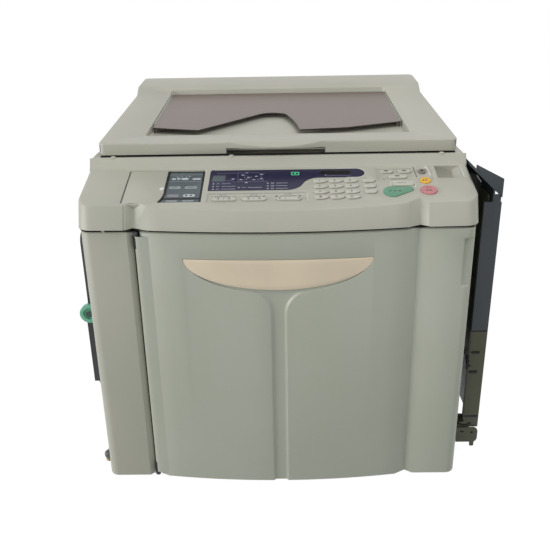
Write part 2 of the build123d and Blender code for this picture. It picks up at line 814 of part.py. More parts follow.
def make_scan_carriage():
    x0 = carriage_rest_x - carriage_width / 2
    x1 = carriage_rest_x + carriage_width / 2
    y0 = glass_front + 2 * glass_ledge
    y1 = glass_rear - 2 * glass_ledge
    bed = carriage_top - 22
    carriage = block(x0, x1, y0, y1, bed, carriage_top)
    carriage -= block(x0 + 8, x1 - 8, y0 + 6, y1 - 6, bed + 6, carriage_top + 1)
    for y in (rod_front_y, rod_rear_y):
        carriage += block(x0, x1, y - 9, y + 9, rod_z - 9, bed)
    for y in (rod_front_y, rod_rear_y):
        carriage -= rod_along_x(x0 - 1, x1 + 1, y, rod_z, rod_radius + pin_clearance)
    return carriage


lid_slope = (lid_kink[1] - lid_lip_top) / (lid_kink[0] - lid_front)


def lid_surface(y):
    return lid_lip_top + lid_slope * (y - lid_front)


def lid_profile(inset):
    return [
        (lid_front + inset, lid_bottom),
        (lid_front + inset, lid_lip_top - inset),
        (lid_kink[0], lid_kink[1] - inset),
        (lid_shoulder[0], lid_shoulder[1] - inset),
        (lid_rear - inset, lid_top_rear - inset),
        (lid_rear - inset, lid_bottom),
    ]


def lid_layer(front, rear, half_x, low, high):
    # A slab that follows the lid's front slope, between two depths below it
    points = [(front, lid_surface(front) - low), (rear, lid_surface(rear) - low),
              (rear, lid_surface(rear) - high), (front, lid_surface(front) - high)]
    return side_prism(points, -half_x, half_x)


def make_platen_cover():
    outer = side_prism(lid_profile(0), -lid_half_x, lid_half_x)
    upright = [e for e in outer.edges().filter_by(Axis.Z)]
    outer = fillet(upright, lid_corner)
    top_faces = [f for f in outer.faces() if f.geom_type == GeomType.PLANE and f.normal_at().Z > 0.5]
    rim = [e for f in top_faces for e in f.edges()]
    rim = [e for e in rim if abs(e.center().X) > 1 or abs(e.center().Y - lid_front) < 1
           or abs(e.center().Y - lid_rear) < 1]
    outer = fillet(rim, lid_edge_round)
    inner = side_prism(lid_profile(wall), -lid_half_x + wall, lid_half_x - wall)
    shell = outer - inner
    # Flat base that the pad is stuck to
    base_low = deck_z + seat_gap + pad_thick
    shell += block(-lid_half_x + wall / 2, lid_half_x - wall / 2, lid_front + wall / 2, hinge_y - 20, base_low,
                   base_low + lid_base)
    # Tub of the document pocket, below the smoked sheet
    tub = lid_layer(pocket_front - wall, pocket_rear + wall, pocket_half_x + wall, pocket_depth + wall, -60)
    pocket = lid_layer(pocket_front, pocket_rear, pocket_half_x, pocket_depth, -60)
    pocket = fillet([e for e in pocket.edges().filter_by(Axis.Z)], pocket_corner)
    lid = shell + (tub & outer)
    lid -= pocket
    # Ledges along both sides, which the smoked sheet lies on
    low = pocket_depth + wall / 2
    high = sheet_sink + sheet_thick
    rear = pocket_rear + wall / 2
    ledge = [(ledge_front, lid_surface(ledge_front) - low), (rear, lid_surface(rear) - low),
             (rear, lid_surface(rear) - high), (ledge_front, lid_surface(ledge_front) - high)]
    for way in (-1, 1):
        x0, x1 = sorted((way * (pocket_half_x + wall / 2), way * (pocket_half_x - sheet_ledge)))
        lid += side_prism(ledge, x0, x1)
    # Hand gap below a lip that swells towards the user
    lid -= block(grip_left, grip_right, lid_front - wall, lid_front + 5 * wall, lid_bottom - wall, grip_gap_top)
    half_chord = (grip_right - grip_left) / 2
    round_radius = (half_chord ** 2 + grip_bulge ** 2) / (2 * grip_bulge)
    lip = side_prism([(lid_front + wall, lid_lip_top + 0.2), (lid_front - 1, lid_lip_top), (lid_front - grip_bulge,
                      grip_gap_top + 3), (lid_front - grip_bulge, grip_gap_top), (lid_front + wall, grip_gap_top)],
                     grip_left, grip_right)
    lip &= rod_along_z((grip_left + grip_right) / 2, lid_front - grip_bulge + round_radius, lid_bottom, lid_top_rear,
                       round_radius)
    lid += lip
    # Knuckles on the hinge pins, with notches in the rear wall for the ears
    for way in (-1, 1):
        x = way * hinge_x
        lid += block(x - hinge_knuckle_half, x + hinge_knuckle_half, hinge_y - hinge_ear_front, lid_rear - wall / 2,
                     hinge_z - 1.5 * hinge_pin_radius, lid_top_rear - 2 * wall)
        reach = hinge_knuckle_half + hinge_play
        for side in (-1, 1):
            x0, x1 = sorted((x + side * reach, x + side * (reach + hinge_ear + hinge_play)))
            x0, x1 = (x0 - hinge_play, x1) if side > 0 else (x0, x1 + hinge_play)
            lid -= block(x0, x1, hinge_y - hinge_ear_front, lid_rear + wall, lid_bottom - wall,
                         hinge_z + 3 * hinge_pin_radius)
        lid -= rod_along_x(x - 4 * hinge_knuckle_half, x + 4 * hinge_knuckle_half, hinge_y, hinge_z,
                           hinge_pin_radius + pin_clearance)
    return lid


def make_lid_hinges():
    hinges = []
    for way in (-1, 1):
        x = way * hinge_x
        near = hinge_knuckle_half + hinge_play
        far = near + hinge_ear
        hinge = block(x - far, x + far, hinge_y - hinge_ear_front, hinge_y + hinge_ear_rear, deck_z,
                      deck_z + hinge_foot)
        for side in (-1, 1):
            x0, x1 = sorted((x + side * near, x + side * far))
            hinge += block(x0, x1, hinge_y - hinge_ear_front, hinge_y + hinge_ear_rear, deck_z, hinge_z)
            hinge += rod_along_x(x0, x1, hinge_y, hinge_z, hinge_ear_rear)
        hinge += rod_along_x(x - far, x + far, hinge_y, hinge_z, hinge_pin_radius)
        hinges.append(hinge)
    return Compound(children=hinges)


def make_pocket_sheet():
    half = sheet_half_x
    # Wavy front edge: a deep bay left of the middle and a shallow one right of it
    edge = [(-half, -64), (-147, -85), (-36, 29), (-10, 39), (15, 29), (30, -20), (41, -90), (127, -80), (half, -42)]
    outline = make_face([
        Line(edge[0], edge[1]), Line(edge[1], edge[2]), ThreePointArc(edge[2], edge[3], edge[4]),
        ThreePointArc(edge[4], edge[5], edge[6]), Line(edge[6], edge[7]), Line(edge[7], edge[8]),
        Line(edge[8], (half, sheet_rear)), Line((half, sheet_rear), (-half, sheet_rear)),
        Line((-half, sheet_rear), edge[0]),
    ])
    column = extrude(Pos(0, 0, lid_bottom) * outline, amount=100, dir=(0, 0, 1))
    return column & lid_layer(-150, sheet_rear + 10, half + 10, sheet_sink + sheet_thick, sheet_sink)


def make_platen_pad():
    low = deck_z + seat_gap
    return block(-glass_half_x + pad_margin, glass_half_x - pad_margin, glass_front + pad_margin,
                 glass_rear - pad_margin, low, low + pad_thick)


# Trays

def make_feed_tray():
    y0 = paper_centre_y - feed_half_y
    y1 = paper_centre_y + feed_half_y
    inner = feed_hinge_x
    low = feed_hinge_z + hinge_barrel + 4
    tray = block(feed_outer, inner, y0, y1, low, feed_top)
    tray = fillet([e for e in tray.edges().filter_by(Axis.X) if e.center().Z > feed_top - 1], feed_rim)
    tray -= block(feed_outer - 1, inner - feed_plate, y0 + feed_rim, y1 - feed_rim, low + feed_rim,
                  feed_top - feed_rim)
    for step in range(-1, 2):
        centre = paper_centre_y + step * feed_half_y / 2
        tray += block(feed_outer + feed_plate, inner - feed_plate / 2, centre - feed_plate / 2,
                      centre + feed_plate / 2, low + 1, feed_top - feed_rim)
    bracket_outer = feed_hinge_x - feed_bracket_depth
    bracket = [(inner - feed_plate, low), (bracket_outer, low), (bracket_outer, feed_bracket_top - feed_rim / 2),
               (feed_outer, feed_bracket_top), (inner - feed_plate, feed_bracket_top)]
    for way in (-1, 1):
        outer_y = paper_centre_y + way * feed_half_y
        inner_y = outer_y - way * feed_arm
        b0, b1 = sorted((outer_y, outer_y - way * feed_bracket_width))
        tray += front_prism(bracket, b0, b1)
        a0, a1 = sorted((outer_y, inner_y))
        tray += rod_along_y(feed_hinge_x, a0, a1, feed_hinge_z, hinge_barrel)
        tray += block(bracket_outer, feed_hinge_x, a0, a1, feed_hinge_z, low + feed_plate)
        b0, b1 = sorted((inner_y - way, inner_y + way * (tray_pin_length + 1)))
        tray -= rod_along_y(feed_hinge_x, b0, b1, feed_hinge_z, tray_pin_radius + pin_clearance)
    tray -= rod_along_y(dial_x, y0 - 1, y0 + dial_shaft_length + 1, dial_z, dial_shaft + pin_clearance)
    return tray


def make_feed_guide(way):
    face = paper_centre_y + way * paper_width / 2
    near = feed_hinge_x + seat_gap
    t0, t1 = sorted((face, face + way * guide_thick))
    guide = block(near, near + guide_height, t0, t1, guide_low, guide_high)
    f0, f1 = sorted((face, face + way * guide_foot / 2))
    guide += block(near, near + 3, f0, f1, guide_low, guide_high)
    corner = [e for e in guide.edges().filter_by(Axis.Y) if e.center().X > near + guide_height - 1]
    return fillet(corner, 12)


def make_position_dial():
    front = paper_centre_y - feed_half_y
    dial = rod_along_y(dial_x, front - dial_thick, front - seat_gap, dial_z, dial_radius)
    dial -= rod_along_y(dial_x, front - dial_thick - 1, front - dial_thick + 5, dial_z, 0.62 * dial_radius)
    dial += rod_along_y(dial_x, front - dial_thick - 1, front - dial_thick + 6, dial_z, 0.36 * dial_radius)
    dial += rod_along_y(dial_x, front - dial_thick + 5, front + dial_shaft_length, dial_z, dial_shaft)
    return dial


def make_receiving_tray():
    y0 = paper_centre_y - out_half_y
    y1 = paper_centre_y + out_half_y
    low = out_hinge_z + hinge_barrel + 4
    tray = block(out_plate_x, out_plate_x + out_plate, y0, y1, low, out_top)
    # Flange at each end, wide enough to hide the folded fences
    flange_x = out_plate_x - out_flange_reach
    tray += block(flange_x, out_rim, y0, y0 + out_flange_thick, low, out_flange_top)
    tray += block(flange_x, out_rim, y1 - out_flange_thick, y1, low, out_flange_top)
    for step in (-1, 0, 1):
        centre = paper_centre_y + step * out_half_y / 2
        tray += block(out_plate_x + 1, out_rim + out_slat_proud, centre - out_slat_half, centre + out_slat_half,
                      low + 3 * out_slat_half, out_flange_top)
    # Slanted cap at the head, over the gap beside the body
    cap_x = body_half_width + cap_gap
    cap = [(cap_x, cap_high), (out_rim, cap_low), (out_rim, cap_low - cap_drop), (cap_x, cap_high - cap_drop)]
    tray += front_prism(cap, y0, y1)
    cap_end = [(cap_x - 2, cap_high + cap_end_rise), (out_rim, cap_low + 3 * cap_end_rise),
               (out_rim, cap_low - cap_drop), (cap_x - 2, cap_high)]
    tray += front_prism(cap_end, y0, y0 + cap_end_thick)
    # Cheeks that join the flanges to the cap
    cheek_x = out_rim - cheek_inset
    cheek = [(out_plate_x, out_flange_top - 1), (cheek_x, out_flange_top - 1), (cheek_x, cap_low),
             (out_plate_x, cap_low)]
    for edge, way in ((y0, 1), (y1, -1)):
        c0, c1 = sorted((edge + way * cheek_inset, edge + way * (cheek_inset + cheek_thick)))
        tray += front_prism(cheek, c0, c1)
    tray -= block(out_plate_x - 1, out_rim + wall, paper_centre_y - stop_slot_half,
                  paper_centre_y + stop_slot_half, stop_slot_low, stop_slot_high)
    for way in (-1, 1):
        outer_y = paper_centre_y + way * out_half_y
        inner_y = outer_y - way * out_arm
        a0, a1 = sorted((outer_y, inner_y))
        tray += rod_along_y(out_hinge_x, a0, a1, out_hinge_z, hinge_barrel)
        tray += block(out_hinge_x, out_rim, a0, a1, out_hinge_z, low + out_flange_thick)
        b0, b1 = sorted((inner_y - way, inner_y + way * (tray_pin_length + 1)))
        tray -= rod_along_y(out_hinge_x, b0, b1, out_hinge_z, tray_pin_radius + pin_clearance)
        # Lugs for the fence pins
        y = fence_line(way)
        for z0, z1 in ((fence_low_z - fence_lug, fence_low_z), (fence_top_z, fence_top_z + fence_lug)):
            lug = block(fence_pin_x() - fence_thick, out_plate_x + 1, y - 4, y + 4, z0, z1)
            tray += lug - rod_along_z(fence_pin_x(), y, z0, z1, fence_pin_radius + pin_clearance)
    return tray


def fence_line(way):
    return paper_centre_y + way * (paper_width / 2 + fence_thick)


def fence_pin_x():
    return out_plate_x - seat_gap - fence_thick / 2


def make_fence(way):
    y = fence_line(way)
    x = fence_pin_x()
    f0, f1 = sorted((y, y + way * fence_high))
    fence = block(x - fence_thick / 2, x + fence_thick / 2, f0, f1, fence_low_z + seat_gap, fence_top_z - seat_gap)
    fence += rod_along_z(x, y, fence_low_z + seat_gap, fence_top_z - seat_gap, fence_thick / 2)
    for z0, z1 in ((fence_low_z - fence_lug + 1, fence_low_z + 4), (fence_top_z - 4, fence_top_z + fence_lug - 1)):
        fence += rod_along_z(x, y, z0, z1, fence_pin_radius)
    return fence


def make_end_stop():
    inner = out_plate_x - seat_gap
    y0 = paper_centre_y - stop_half_y
    y1 = paper_centre_y + stop_half_y
    low = stop_z - stop_back
    stop = block(body_half_width + stop_gap, inner, y0, y1, stop_z - stop_thick, stop_z)
    stop += block(inner - stop_thick, inner, paper_centre_y - stop_back / 2, paper_centre_y + stop_back / 2, low,
                  stop_z)
    tongue = stop_slot_half - seat_gap
    stop += block(inner - stop_thick / 2, inner + out_plate, paper_centre_y - tongue, paper_centre_y + tongue, low,
                  stop_z - stop_thick)
    return stop


# Print drum and its neighbours

def make_drum_carrier():
    front = carrier_front
    back = front + carrier_plate
    rail_low = drum_z + drum_radius + drum_air
    rail_top = rail_low + rail_height
    plate = block(drum_x - carrier_half, drum_x + carrier_half, front, back, drum_z - carrier_half, rail_top)
    plate = fillet(plate.edges().filter_by(Axis.Y), 20)
    tube_end = drum_rear + 6
    carrier = plate + rod_along_y(drum_x, front, tube_end, drum_z, core_radius)
    carrier += block(drum_x - rail_half, drum_x + rail_half, front, rail_rear, rail_low, rail_top)
    carrier -= rod_along_y(drum_x, front - 1, tube_end - 4, drum_z, core_radius - core_wall)
    # Upright bow handle in front of the plate
    grip_x = drum_x + carrier_half - 16
    carrier += block(grip_x - 5, grip_x + 5, front - 22, front - 12, drum_z - 45, drum_z + 45)
    for z in (drum_z - 40, drum_z + 40):
        carrier += block(grip_x - 5, grip_x + 5, front - 13, front + 1, z - 5, z + 5)
    return carrier


def make_print_drum():
    drum = rod_along_y(drum_x, drum_front, drum_rear, drum_z, drum_radius)
    drum -= rod_along_y(drum_x, drum_front + drum_disc, drum_rear - drum_disc, drum_z, drum_radius - drum_skin)
    drum -= rod_along_y(drum_x, drum_front - 1, drum_rear + 1, drum_z, core_radius + pin_clearance)
    # Clamp bar that holds the master's leading edge
    drum -= block(drum_x - 9, drum_x + 9, drum_front + 20, drum_rear - 20, drum_z + drum_radius - 1.2,
                  drum_z + drum_radius + 2)
    return drum


def make_ink_cartridge():
    front = carrier_front - ink_cap
    bottle = rod_along_y(drum_x, front + ink_cap, drum_rear - 40, drum_z, ink_radius)
    cap = rod_along_y(drum_x, front, front + ink_cap, drum_z, ink_radius + 1)
    cap -= block(drum_x - ink_radius, drum_x - 9, front - 1, front + ink_cap - 4, drum_z - 12, drum_z + 12)
    cap -= block(drum_x + 9, drum_x + ink_radius, front - 1, front + ink_cap - 4, drum_z - 12, drum_z + 12)
    seat = rod_along_y(drum_x, carrier_front + 6, carrier_front + 26, drum_z, core_radius - core_wall - seat_gap)
    return bottle + cap + seat


def make_pressure_roller():
    z = drum_z - drum_radius - nip_gap - pressure_radius
    roller = rod_along_y(drum_x, paper_centre_y - 155, paper_centre_y + 155, z, pressure_radius)
    return roller + rod_along_y(drum_x, front_plate_y, rear_plate_y + frame_sheet, z, journal_radius)


def make_feed_roller():
    roller = rod_along_y(feed_roller_x, paper_centre_y - feed_roller_half, paper_centre_y + feed_roller_half,
                         feed_roller_z, feed_roller_radius)
    return roller + rod_along_y(feed_roller_x, front_plate_y, rear_plate_y + frame_sheet, feed_roller_z,
                                feed_shaft_radius)


def make_master_roll():
    roll = rod_along_y(master_x, paper_centre_y - master_half, paper_centre_y + master_half, master_z, master_radius)
    return roll + rod_along_y(master_x, front_plate_y, rear_plate_y + frame_sheet, master_z, master_core)


def make_disposal_box():
    x0 = -body_half_width
    x1 = x0 + box_depth
    y0 = paper_centre_y - box_half_y
    y1 = paper_centre_y + box_half_y
    box = block(x0, x1, y0, y1, box_low, box_high)
    box -= block(x0 + 2 * box_wall, x1 - box_wall, y0 + box_wall, y1 - box_wall, box_low + box_wall, box_high + 1)
    # Hand recess in the face that shows
    box += block(x0, x0 + 22, paper_centre_y - 45, paper_centre_y + 45, box_high - box_grip_high - 8, box_high)
    box -= block(x0 - 1, x0 + 18, paper_centre_y - 40, paper_centre_y + 40, box_high - box_grip_high - 4,
                 box_high - 6)
    return box


def make_main_motor():
    y0 = rear_plate_y + frame_sheet
    motor = rod_along_y(motor_x, y0 + motor_flange, y0 + motor_length, motor_z, motor_radius)
    motor += block(motor_x - motor_radius - 6, motor_x + motor_radius + 6, y0, y0 + motor_flange,
                   motor_z - motor_radius - 6, motor_z + motor_radius + 6)
    return motor


def make_power_switch():
    x = body_half_width
    outline = [(switch_z - switch_long / 2, x - 8), (switch_z - switch_long / 2, x + 2.5), (switch_z, x + 0.5),
               (switch_z + switch_long / 2, x - 0.5), (switch_z + switch_long / 2, x - 8)]
    corners = [Vector(px, switch_y - switch_wide / 2, pz) for pz, px in outline]
    return extrude(make_face(Polyline(*corners, close=True)), amount=switch_wide, dir=(0, 1, 0))


save(make_main_frame(), "main_frame")
save(make_feet(), "feet")
save(make_left_cover(), "left_cover")
save(make_right_cover(), "right_cover")
save(make_rear_cover(), "rear_cover")
save(make_front_door(), "front_door")
save(make_console_housing(), "console_housing")
save(make_panel_windows(), "panel_windows")
save(make_sub_panel_cover(), "sub_panel_cover")
for key_name, (key_x, key_y, key_shape) in key_list().items():
    make = make_rocker if "rocker" in key_name else make_key
    save(make(key_x, key_y, key_shape), key_name)
save(make_scanner_housing(), "scanner_housing")
save(block(-glass_half_x, glass_half_x, glass_front, glass_rear, deck_z - glass_thick, deck_z), "stage_glass")
save(make_scan_rods(), "scan_rods")
save(make_scan_carriage(), "scan_carriage")
save(make_platen_cover(), "platen_cover")
save(make_lid_hinges(), "lid_hinges")
save(make_pocket_sheet(), "pocket_sheet")
save(make_platen_pad(), "platen_pad")
save(make_feed_tray(), "feed_tray")
save(make_feed_guide(-1), "feed_guide_front")
save(make_feed_guide(1), "feed_guide_rear")
save(make_position_dial(), "position_dial")
save(make_receiving_tray(), "receiving_tray")
save(make_fence(-1), "fence_front")
save(make_fence(1), "fence_rear")
save(make_end_stop(), "end_stop")
save(make_drum_carrier(), "drum_carrier")
save(make_print_drum(), "print_drum")
save(make_ink_cartridge(), "ink_cartridge")
save(make_pressure_roller(), "pressure_roller")
save(make_feed_roller(), "feed_roller")
save(make_master_roll(), "master_roll")
save(make_disposal_box(), "disposal_box")
save(make_main_motor(), "main_motor")
save(make_power_switch(), "power_switch")
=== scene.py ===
import json
import math
import bmesh
import bpy
from mathutils import Matrix, Vector

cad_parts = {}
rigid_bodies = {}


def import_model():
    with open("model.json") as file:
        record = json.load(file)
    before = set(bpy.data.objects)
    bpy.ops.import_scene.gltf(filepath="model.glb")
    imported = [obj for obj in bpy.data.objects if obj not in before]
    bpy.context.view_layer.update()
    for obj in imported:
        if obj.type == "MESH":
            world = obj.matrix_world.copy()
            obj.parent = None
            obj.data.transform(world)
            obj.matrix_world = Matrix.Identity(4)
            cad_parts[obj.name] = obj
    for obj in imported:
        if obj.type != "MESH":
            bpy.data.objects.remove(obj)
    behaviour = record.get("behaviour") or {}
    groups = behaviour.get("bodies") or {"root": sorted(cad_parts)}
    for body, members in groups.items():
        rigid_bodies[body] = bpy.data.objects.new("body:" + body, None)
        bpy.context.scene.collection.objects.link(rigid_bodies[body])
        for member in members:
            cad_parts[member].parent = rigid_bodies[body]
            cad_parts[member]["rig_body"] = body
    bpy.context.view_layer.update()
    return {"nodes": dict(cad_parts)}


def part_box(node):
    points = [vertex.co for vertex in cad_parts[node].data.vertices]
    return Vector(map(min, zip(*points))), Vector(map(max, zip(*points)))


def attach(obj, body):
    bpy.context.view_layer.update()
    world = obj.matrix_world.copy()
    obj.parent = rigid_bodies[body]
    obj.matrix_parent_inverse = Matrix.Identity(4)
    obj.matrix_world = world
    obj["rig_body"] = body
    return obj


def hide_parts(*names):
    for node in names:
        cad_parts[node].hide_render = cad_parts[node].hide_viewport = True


# A digital duplicator: grey moulded covers, a scanner lid on top, a drum behind the door, trays at both sides.
# Metres, as in the frame. Sizes in the dictionaries below are in millimetres and go through the value mm.

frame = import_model()
mm = 0.001
nodes = frame["nodes"]
scene = bpy.context.scene
print("frame loaded:", len(nodes), "nodes")

# Camera, as fitted to the picture

view = {
    "place": (0.012, -1.411, 0.870),
    "yaw": -0.92,       # degrees, to the right
    "pitch": 22.72,     # degrees, down
    "roll": -1.04,
    "focal": 714.6,     # pixels
    "imageSide": 550,   # pixels
    "sensor": 36.0,
}


def makeCamera():
    data = bpy.data.cameras.new("pictureCamera")
    data.sensor_width = view["sensor"]
    data.lens = view["focal"] / view["imageSide"] * view["sensor"]
    data.clip_end = 200
    yaw, pitch, roll = (math.radians(view[key]) for key in ("yaw", "pitch", "roll"))
    ahead = Vector((math.sin(yaw) * math.cos(pitch), math.cos(yaw) * math.cos(pitch), -math.sin(pitch)))
    right = Vector((math.cos(yaw), -math.sin(yaw), 0))
    up = right.cross(ahead)
    turnedRight = right * math.cos(roll) + up * math.sin(roll)
    turnedUp = up * math.cos(roll) - right * math.sin(roll)
    turn = Matrix((turnedRight, turnedUp, -ahead)).transposed()
    camera = bpy.data.objects.new("pictureCamera", data)
    camera.matrix_world = Matrix.Translation(view["place"]) @ turn.to_4x4()
    scene.collection.objects.link(camera)
    scene.camera = camera


makeCamera()
scene.view_settings.view_transform = "Standard"
print("camera placed")

# Material helpers


def hexColour(code):
    parts = [int(code[place:place + 2], 16) / 255 for place in (0, 2, 4)]
    linear = [part / 12.92 if part <= 0.04045 else ((part + 0.055) / 1.055) ** 2.4 for part in parts]
    return (*linear, 1.0)


def feed(tree, node, inputs):
    for name, value in inputs.items():
        if isinstance(value, bpy.types.NodeSocket):
            tree.links.new(value, node.inputs[name])
        else:
            node.inputs[name].default_value = value


def addNode(tree, kind, settings=None, inputs=None):
    node = tree.nodes.new(kind)
    for name, value in (settings or {}).items():
        setattr(node, name, value)
    feed(tree, node, inputs or {})
    return node


def fillShader(material, **inputs):
    tree = material.node_tree
    feed(tree, tree.nodes["Principled BSDF"], {key.replace("_", " "): value for key, value in inputs.items()})


def newMaterial(name, **inputs):
    material = bpy.data.materials.new(name)
    material.use_nodes = True
    fillShader(material, **inputs)
    return material, material.node_tree, addNode(material.node_tree, "ShaderNodeTexCoord").outputs["Object"]


def perMetre(sizeMm):
    return 1000.0 / sizeMm


def noise(tree, place, sizeMm, detail=2.0):
    inputs = {"Vector": place, "Scale": perMetre(sizeMm), "Detail": detail}
    return addNode(tree, "ShaderNodeTexNoise", None, inputs).outputs["Fac"]


def ranged(tree, value, low, high, start=0.0, end=1.0):
    inputs = {"Value": value, "From Min": start, "From Max": end, "To Min": low, "To Max": high}
    return addNode(tree, "ShaderNodeMapRange", None, inputs).outputs["Result"]


def mixed(tree, factor, first, second):
    inputs = {"Factor": factor, "A": hexColour(first), "B": hexColour(second)}
    return addNode(tree, "ShaderNodeMix", {"data_type": "RGBA"}, inputs).outputs["Result"]


def maths(tree, operation, first, second):
    return addNode(tree, "ShaderNodeMath", {"operation": operation}, {0: first, 1: second}).outputs[0]


def bumped(tree, height, strength, depthMm):
    inputs = {"Height": height, "Strength": strength, "Distance": depthMm * mm}
    return addNode(tree, "ShaderNodeBump", None, inputs).outputs["Normal"]


moulding = {
    "driftBand": (0.35, 0.65),  # the part of the noise over which the colour drifts
    "grainBand": (0.3, 0.7),    # the part of the noise over which the roughness changes
    "roughSpread": 0.05,
}


def mouldedSkin(name, look):
    # Colour drifts slowly over the part, the grain is what a spark-eroded mould leaves
    material, tree, place = newMaterial(name, IOR=look.get("ior", 1.53))
    drift = noise(tree, place, look["driftMm"], 3.0)
    speck = noise(tree, place, look["grainMm"])
    colour = mixed(tree, ranged(tree, drift, 0.0, 1.0, *moulding["driftBand"]), look["colour"], look["shade"])
    spread = moulding["roughSpread"]
    rough = ranged(tree, speck, look["rough"] - spread, look["rough"] + spread, *moulding["grainBand"])
    normal = bumped(tree, speck, look["grainStrength"], look["grainDepthMm"])
    fillShader(material, Base_Color=colour, Roughness=rough, Normal=normal)
    return material


def smooth(colour, shade, driftMm, rough, grainMm=0.7, ior=1.53):
    # A polished mould or a printed film: hardly any grain
    return dict(grain(colour, shade, driftMm, rough, grainMm, 0.1, 0.05), ior=ior)


def grain(colour, shade, driftMm, rough, grainMm=1.1, strength=0.25, depth=0.15):
    return dict(colour=colour, shade=shade, driftMm=driftMm, grainMm=grainMm, grainStrength=strength,
                grainDepthMm=depth, rough=rough)


looks = {
    # ABS, injection moulded, warm light grey: soft sheen, fine even grain, a little yellowed
    "bodyAbs": grain("B9B7AA", "B4B4A6", 160, 0.44),
    # the same ABS on the door, slightly greener: a painted tint for the greenish light reflected onto the door
    # from below
    "doorAbs": grain("B7B9AC", "B2B5A6", 220, 0.42),
    # ABS key caps, polished mould: smoother than the covers
    "keyAbs": smooth("C4C4B7", "BFBFB1", 40, 0.2),
    "keyDarkAbs": smooth("7D7D72", "75756B", 12, 0.35),
    "keyGreenAbs": smooth("629A7C", "5A9174", 12, 0.28),
    "keyYellowAbs": smooth("F0B92E", "E8AF26", 12, 0.28),
    "keyRedAbs": smooth("C98184", "C0777A", 12, 0.28),
    # glass-filled polystyrene trays, almost black, dull
    "trayBlack": grain("25282C", "202326", 90, 0.5, 1.4, 0.35, 0.2),
    "traySlate": grain("2D363C", "283036", 90, 0.45, 1.4, 0.3, 0.2),
    "trayOlive": grain("43452F", "3D3E29", 60, 0.5, 1.4, 0.3, 0.2),
    # acetal dial, green, with a slightly waxy sheen; its hub is darker
    "dialGreen": smooth("7DC4A9", "73B99E", 15, 0.33, 0.9),
    "dialHub": smooth("2E4B43", "27423B", 15, 0.4, 0.9),
    # galvanised sheet with grey paint
    "frameSteel": grain("A9ACAB", "9EA2A2", 60, 0.38, 2.5, 0.1, 0.1),
    # moulded nitrile rubber, dull black
    "rubberBlack": grain("1E1F1F", "191A1A", 30, 0.72, 0.9, 0.4, 0.2),
    "rollerRubber": grain("34353A", "2D2E33", 50, 0.62, 0.8, 0.3, 0.1),
    # near-black and dull, swallowing light: painted shade for the strips in the gaps at the door and the deck,
    # the hinge knuckles, holes and the inlet's well
    "paintedShadeBlack": grain("0E0E0D", "0A0A0A", 20, 0.9, 1.2, 0.5, 0.3),
    # wound film master, off white
    "masterFilm": grain("E4E1D3", "DBD7C6", 30, 0.4, 1.2, 0.1, 0.1),
    "inkBottle": grain("D9D8D0", "CFCEC5", 60, 0.35, 1.1, 0.1, 0.1),
    "motorEnamel": grain("26282A", "1F2123", 40, 0.42, 1.6, 0.2, 0.1),
    # closed-cell foam with a white film on the lid's underside
    "padFilm": grain("E6E6E0", "DFDFD8", 50, 0.55, 2.2, 0.2, 0.2),
    # polycarbonate film over dark prints, coated against reflections: smooth, dark, a weak gloss
    "filmNavy": smooth("282642", "2F2D48", 70, 0.22, ior=1.28),
    "filmSlate": smooth("566064", "5E686C", 45, 0.26, ior=1.3),
    "filmBlack": smooth("15161A", "1B1C20", 30, 0.3, ior=1.3),
    "filmBrown": smooth("110C09", "17100D", 25, 0.25, ior=1.25),
    # silk-screen inks: flat, satin
    "inkDark": smooth("3F4039", "4A4B42", 5, 0.5),
    "inkViolet": smooth("6B6982", "74728A", 8, 0.4),
    "inkPale": smooth("B4B6C6", "C2C4D0", 5, 0.4),
    "inkWhite": smooth("C6CDCF", "B6BEC1", 8, 0.4),
    "inkGreyPill": smooth("8D9696", "98A1A0", 8, 0.4),
    "inkRosePill": smooth("8C8990", "85828B", 8, 0.4),
    # painted shade in the gap at the front and right of a key
    "keyShade": smooth("5E5D52", "56554B", 10, 0.5),
    "inkBlackPrint": smooth("1D1E22", "26272B", 8, 0.4),
    # anodised aluminium nameplate, champagne, bare
    "plateChampagne": grain("EEDDC4", "E4D4BC", 110, 0.42, 0.6, 0.12, 0.05),
    "plateRim": smooth("8F8672", "878069", 20, 0.4),
    "screwZinc": smooth("8F9293", "85888A", 6, 0.35, 0.9),
    "knobGrey": smooth("5F6464", "575B5B", 8, 0.35),
    "knobBrass": smooth("A9A070", "9E9566", 8, 0.35),
    "noticeWhite": smooth("F0F0EC", "EAEAE4", 30, 0.5),
    # painted highlight on the polished edges of the moulded frames, ridges and tabs, where the window light
    # falls
    "paintedHighlight": smooth("E4E5DB", "DADBD0", 20, 0.2),
    # painted shade: the darker floor of the clip tray's well
    "wellFloorShade": grain("9E9C90", "989689", 60, 0.45),
    # polished edge of the smoked sheet, darker than its face
    "acrylicEdge": smooth("2E2521", "38302B", 20, 0.3),
}
skins = {name: mouldedSkin(name, look) for name, look in looks.items()}


def groundSteel():
    # Bright ground steel: the marks run round the rod
    material, tree, place = newMaterial("steelGround", Metallic=1.0, Base_Color=hexColour("B9BBBC"))
    stretch = addNode(tree, "ShaderNodeMapping", None, {"Vector": place, "Scale": (40.0, 1.0, 1.0)})
    fillShader(material, Roughness=ranged(tree, noise(tree, stretch.outputs["Vector"], 8.0), 0.18, 0.38))
    return material


def smokedAcrylic():
    # Thin smoked acrylic, satin top: a little of the tub's floor shows through
    material, tree, place = newMaterial("acrylicSmoked", IOR=1.49, Alpha=0.9)
    cloud = noise(tree, place, 240.0, 1.0)
    colour = mixed(tree, cloud, "75655B", "796A60")
    fillShader(material, Base_Color=colour, Roughness=ranged(tree, cloud, 0.3, 0.36))
    return material


def polishedGlass():
    # Float glass over a dark scanner bay: smooth, slightly green in its edge, a few dust specks
    green = hexColour("DDE8E2")
    material, tree, place = newMaterial("glassFloat", IOR=1.52, Transmission_Weight=0.9, Base_Color=green)
    fillShader(material, Roughness=ranged(tree, noise(tree, place, 3.0, 4.0), 0.01, 0.04, 0.7, 0.9))
    return material


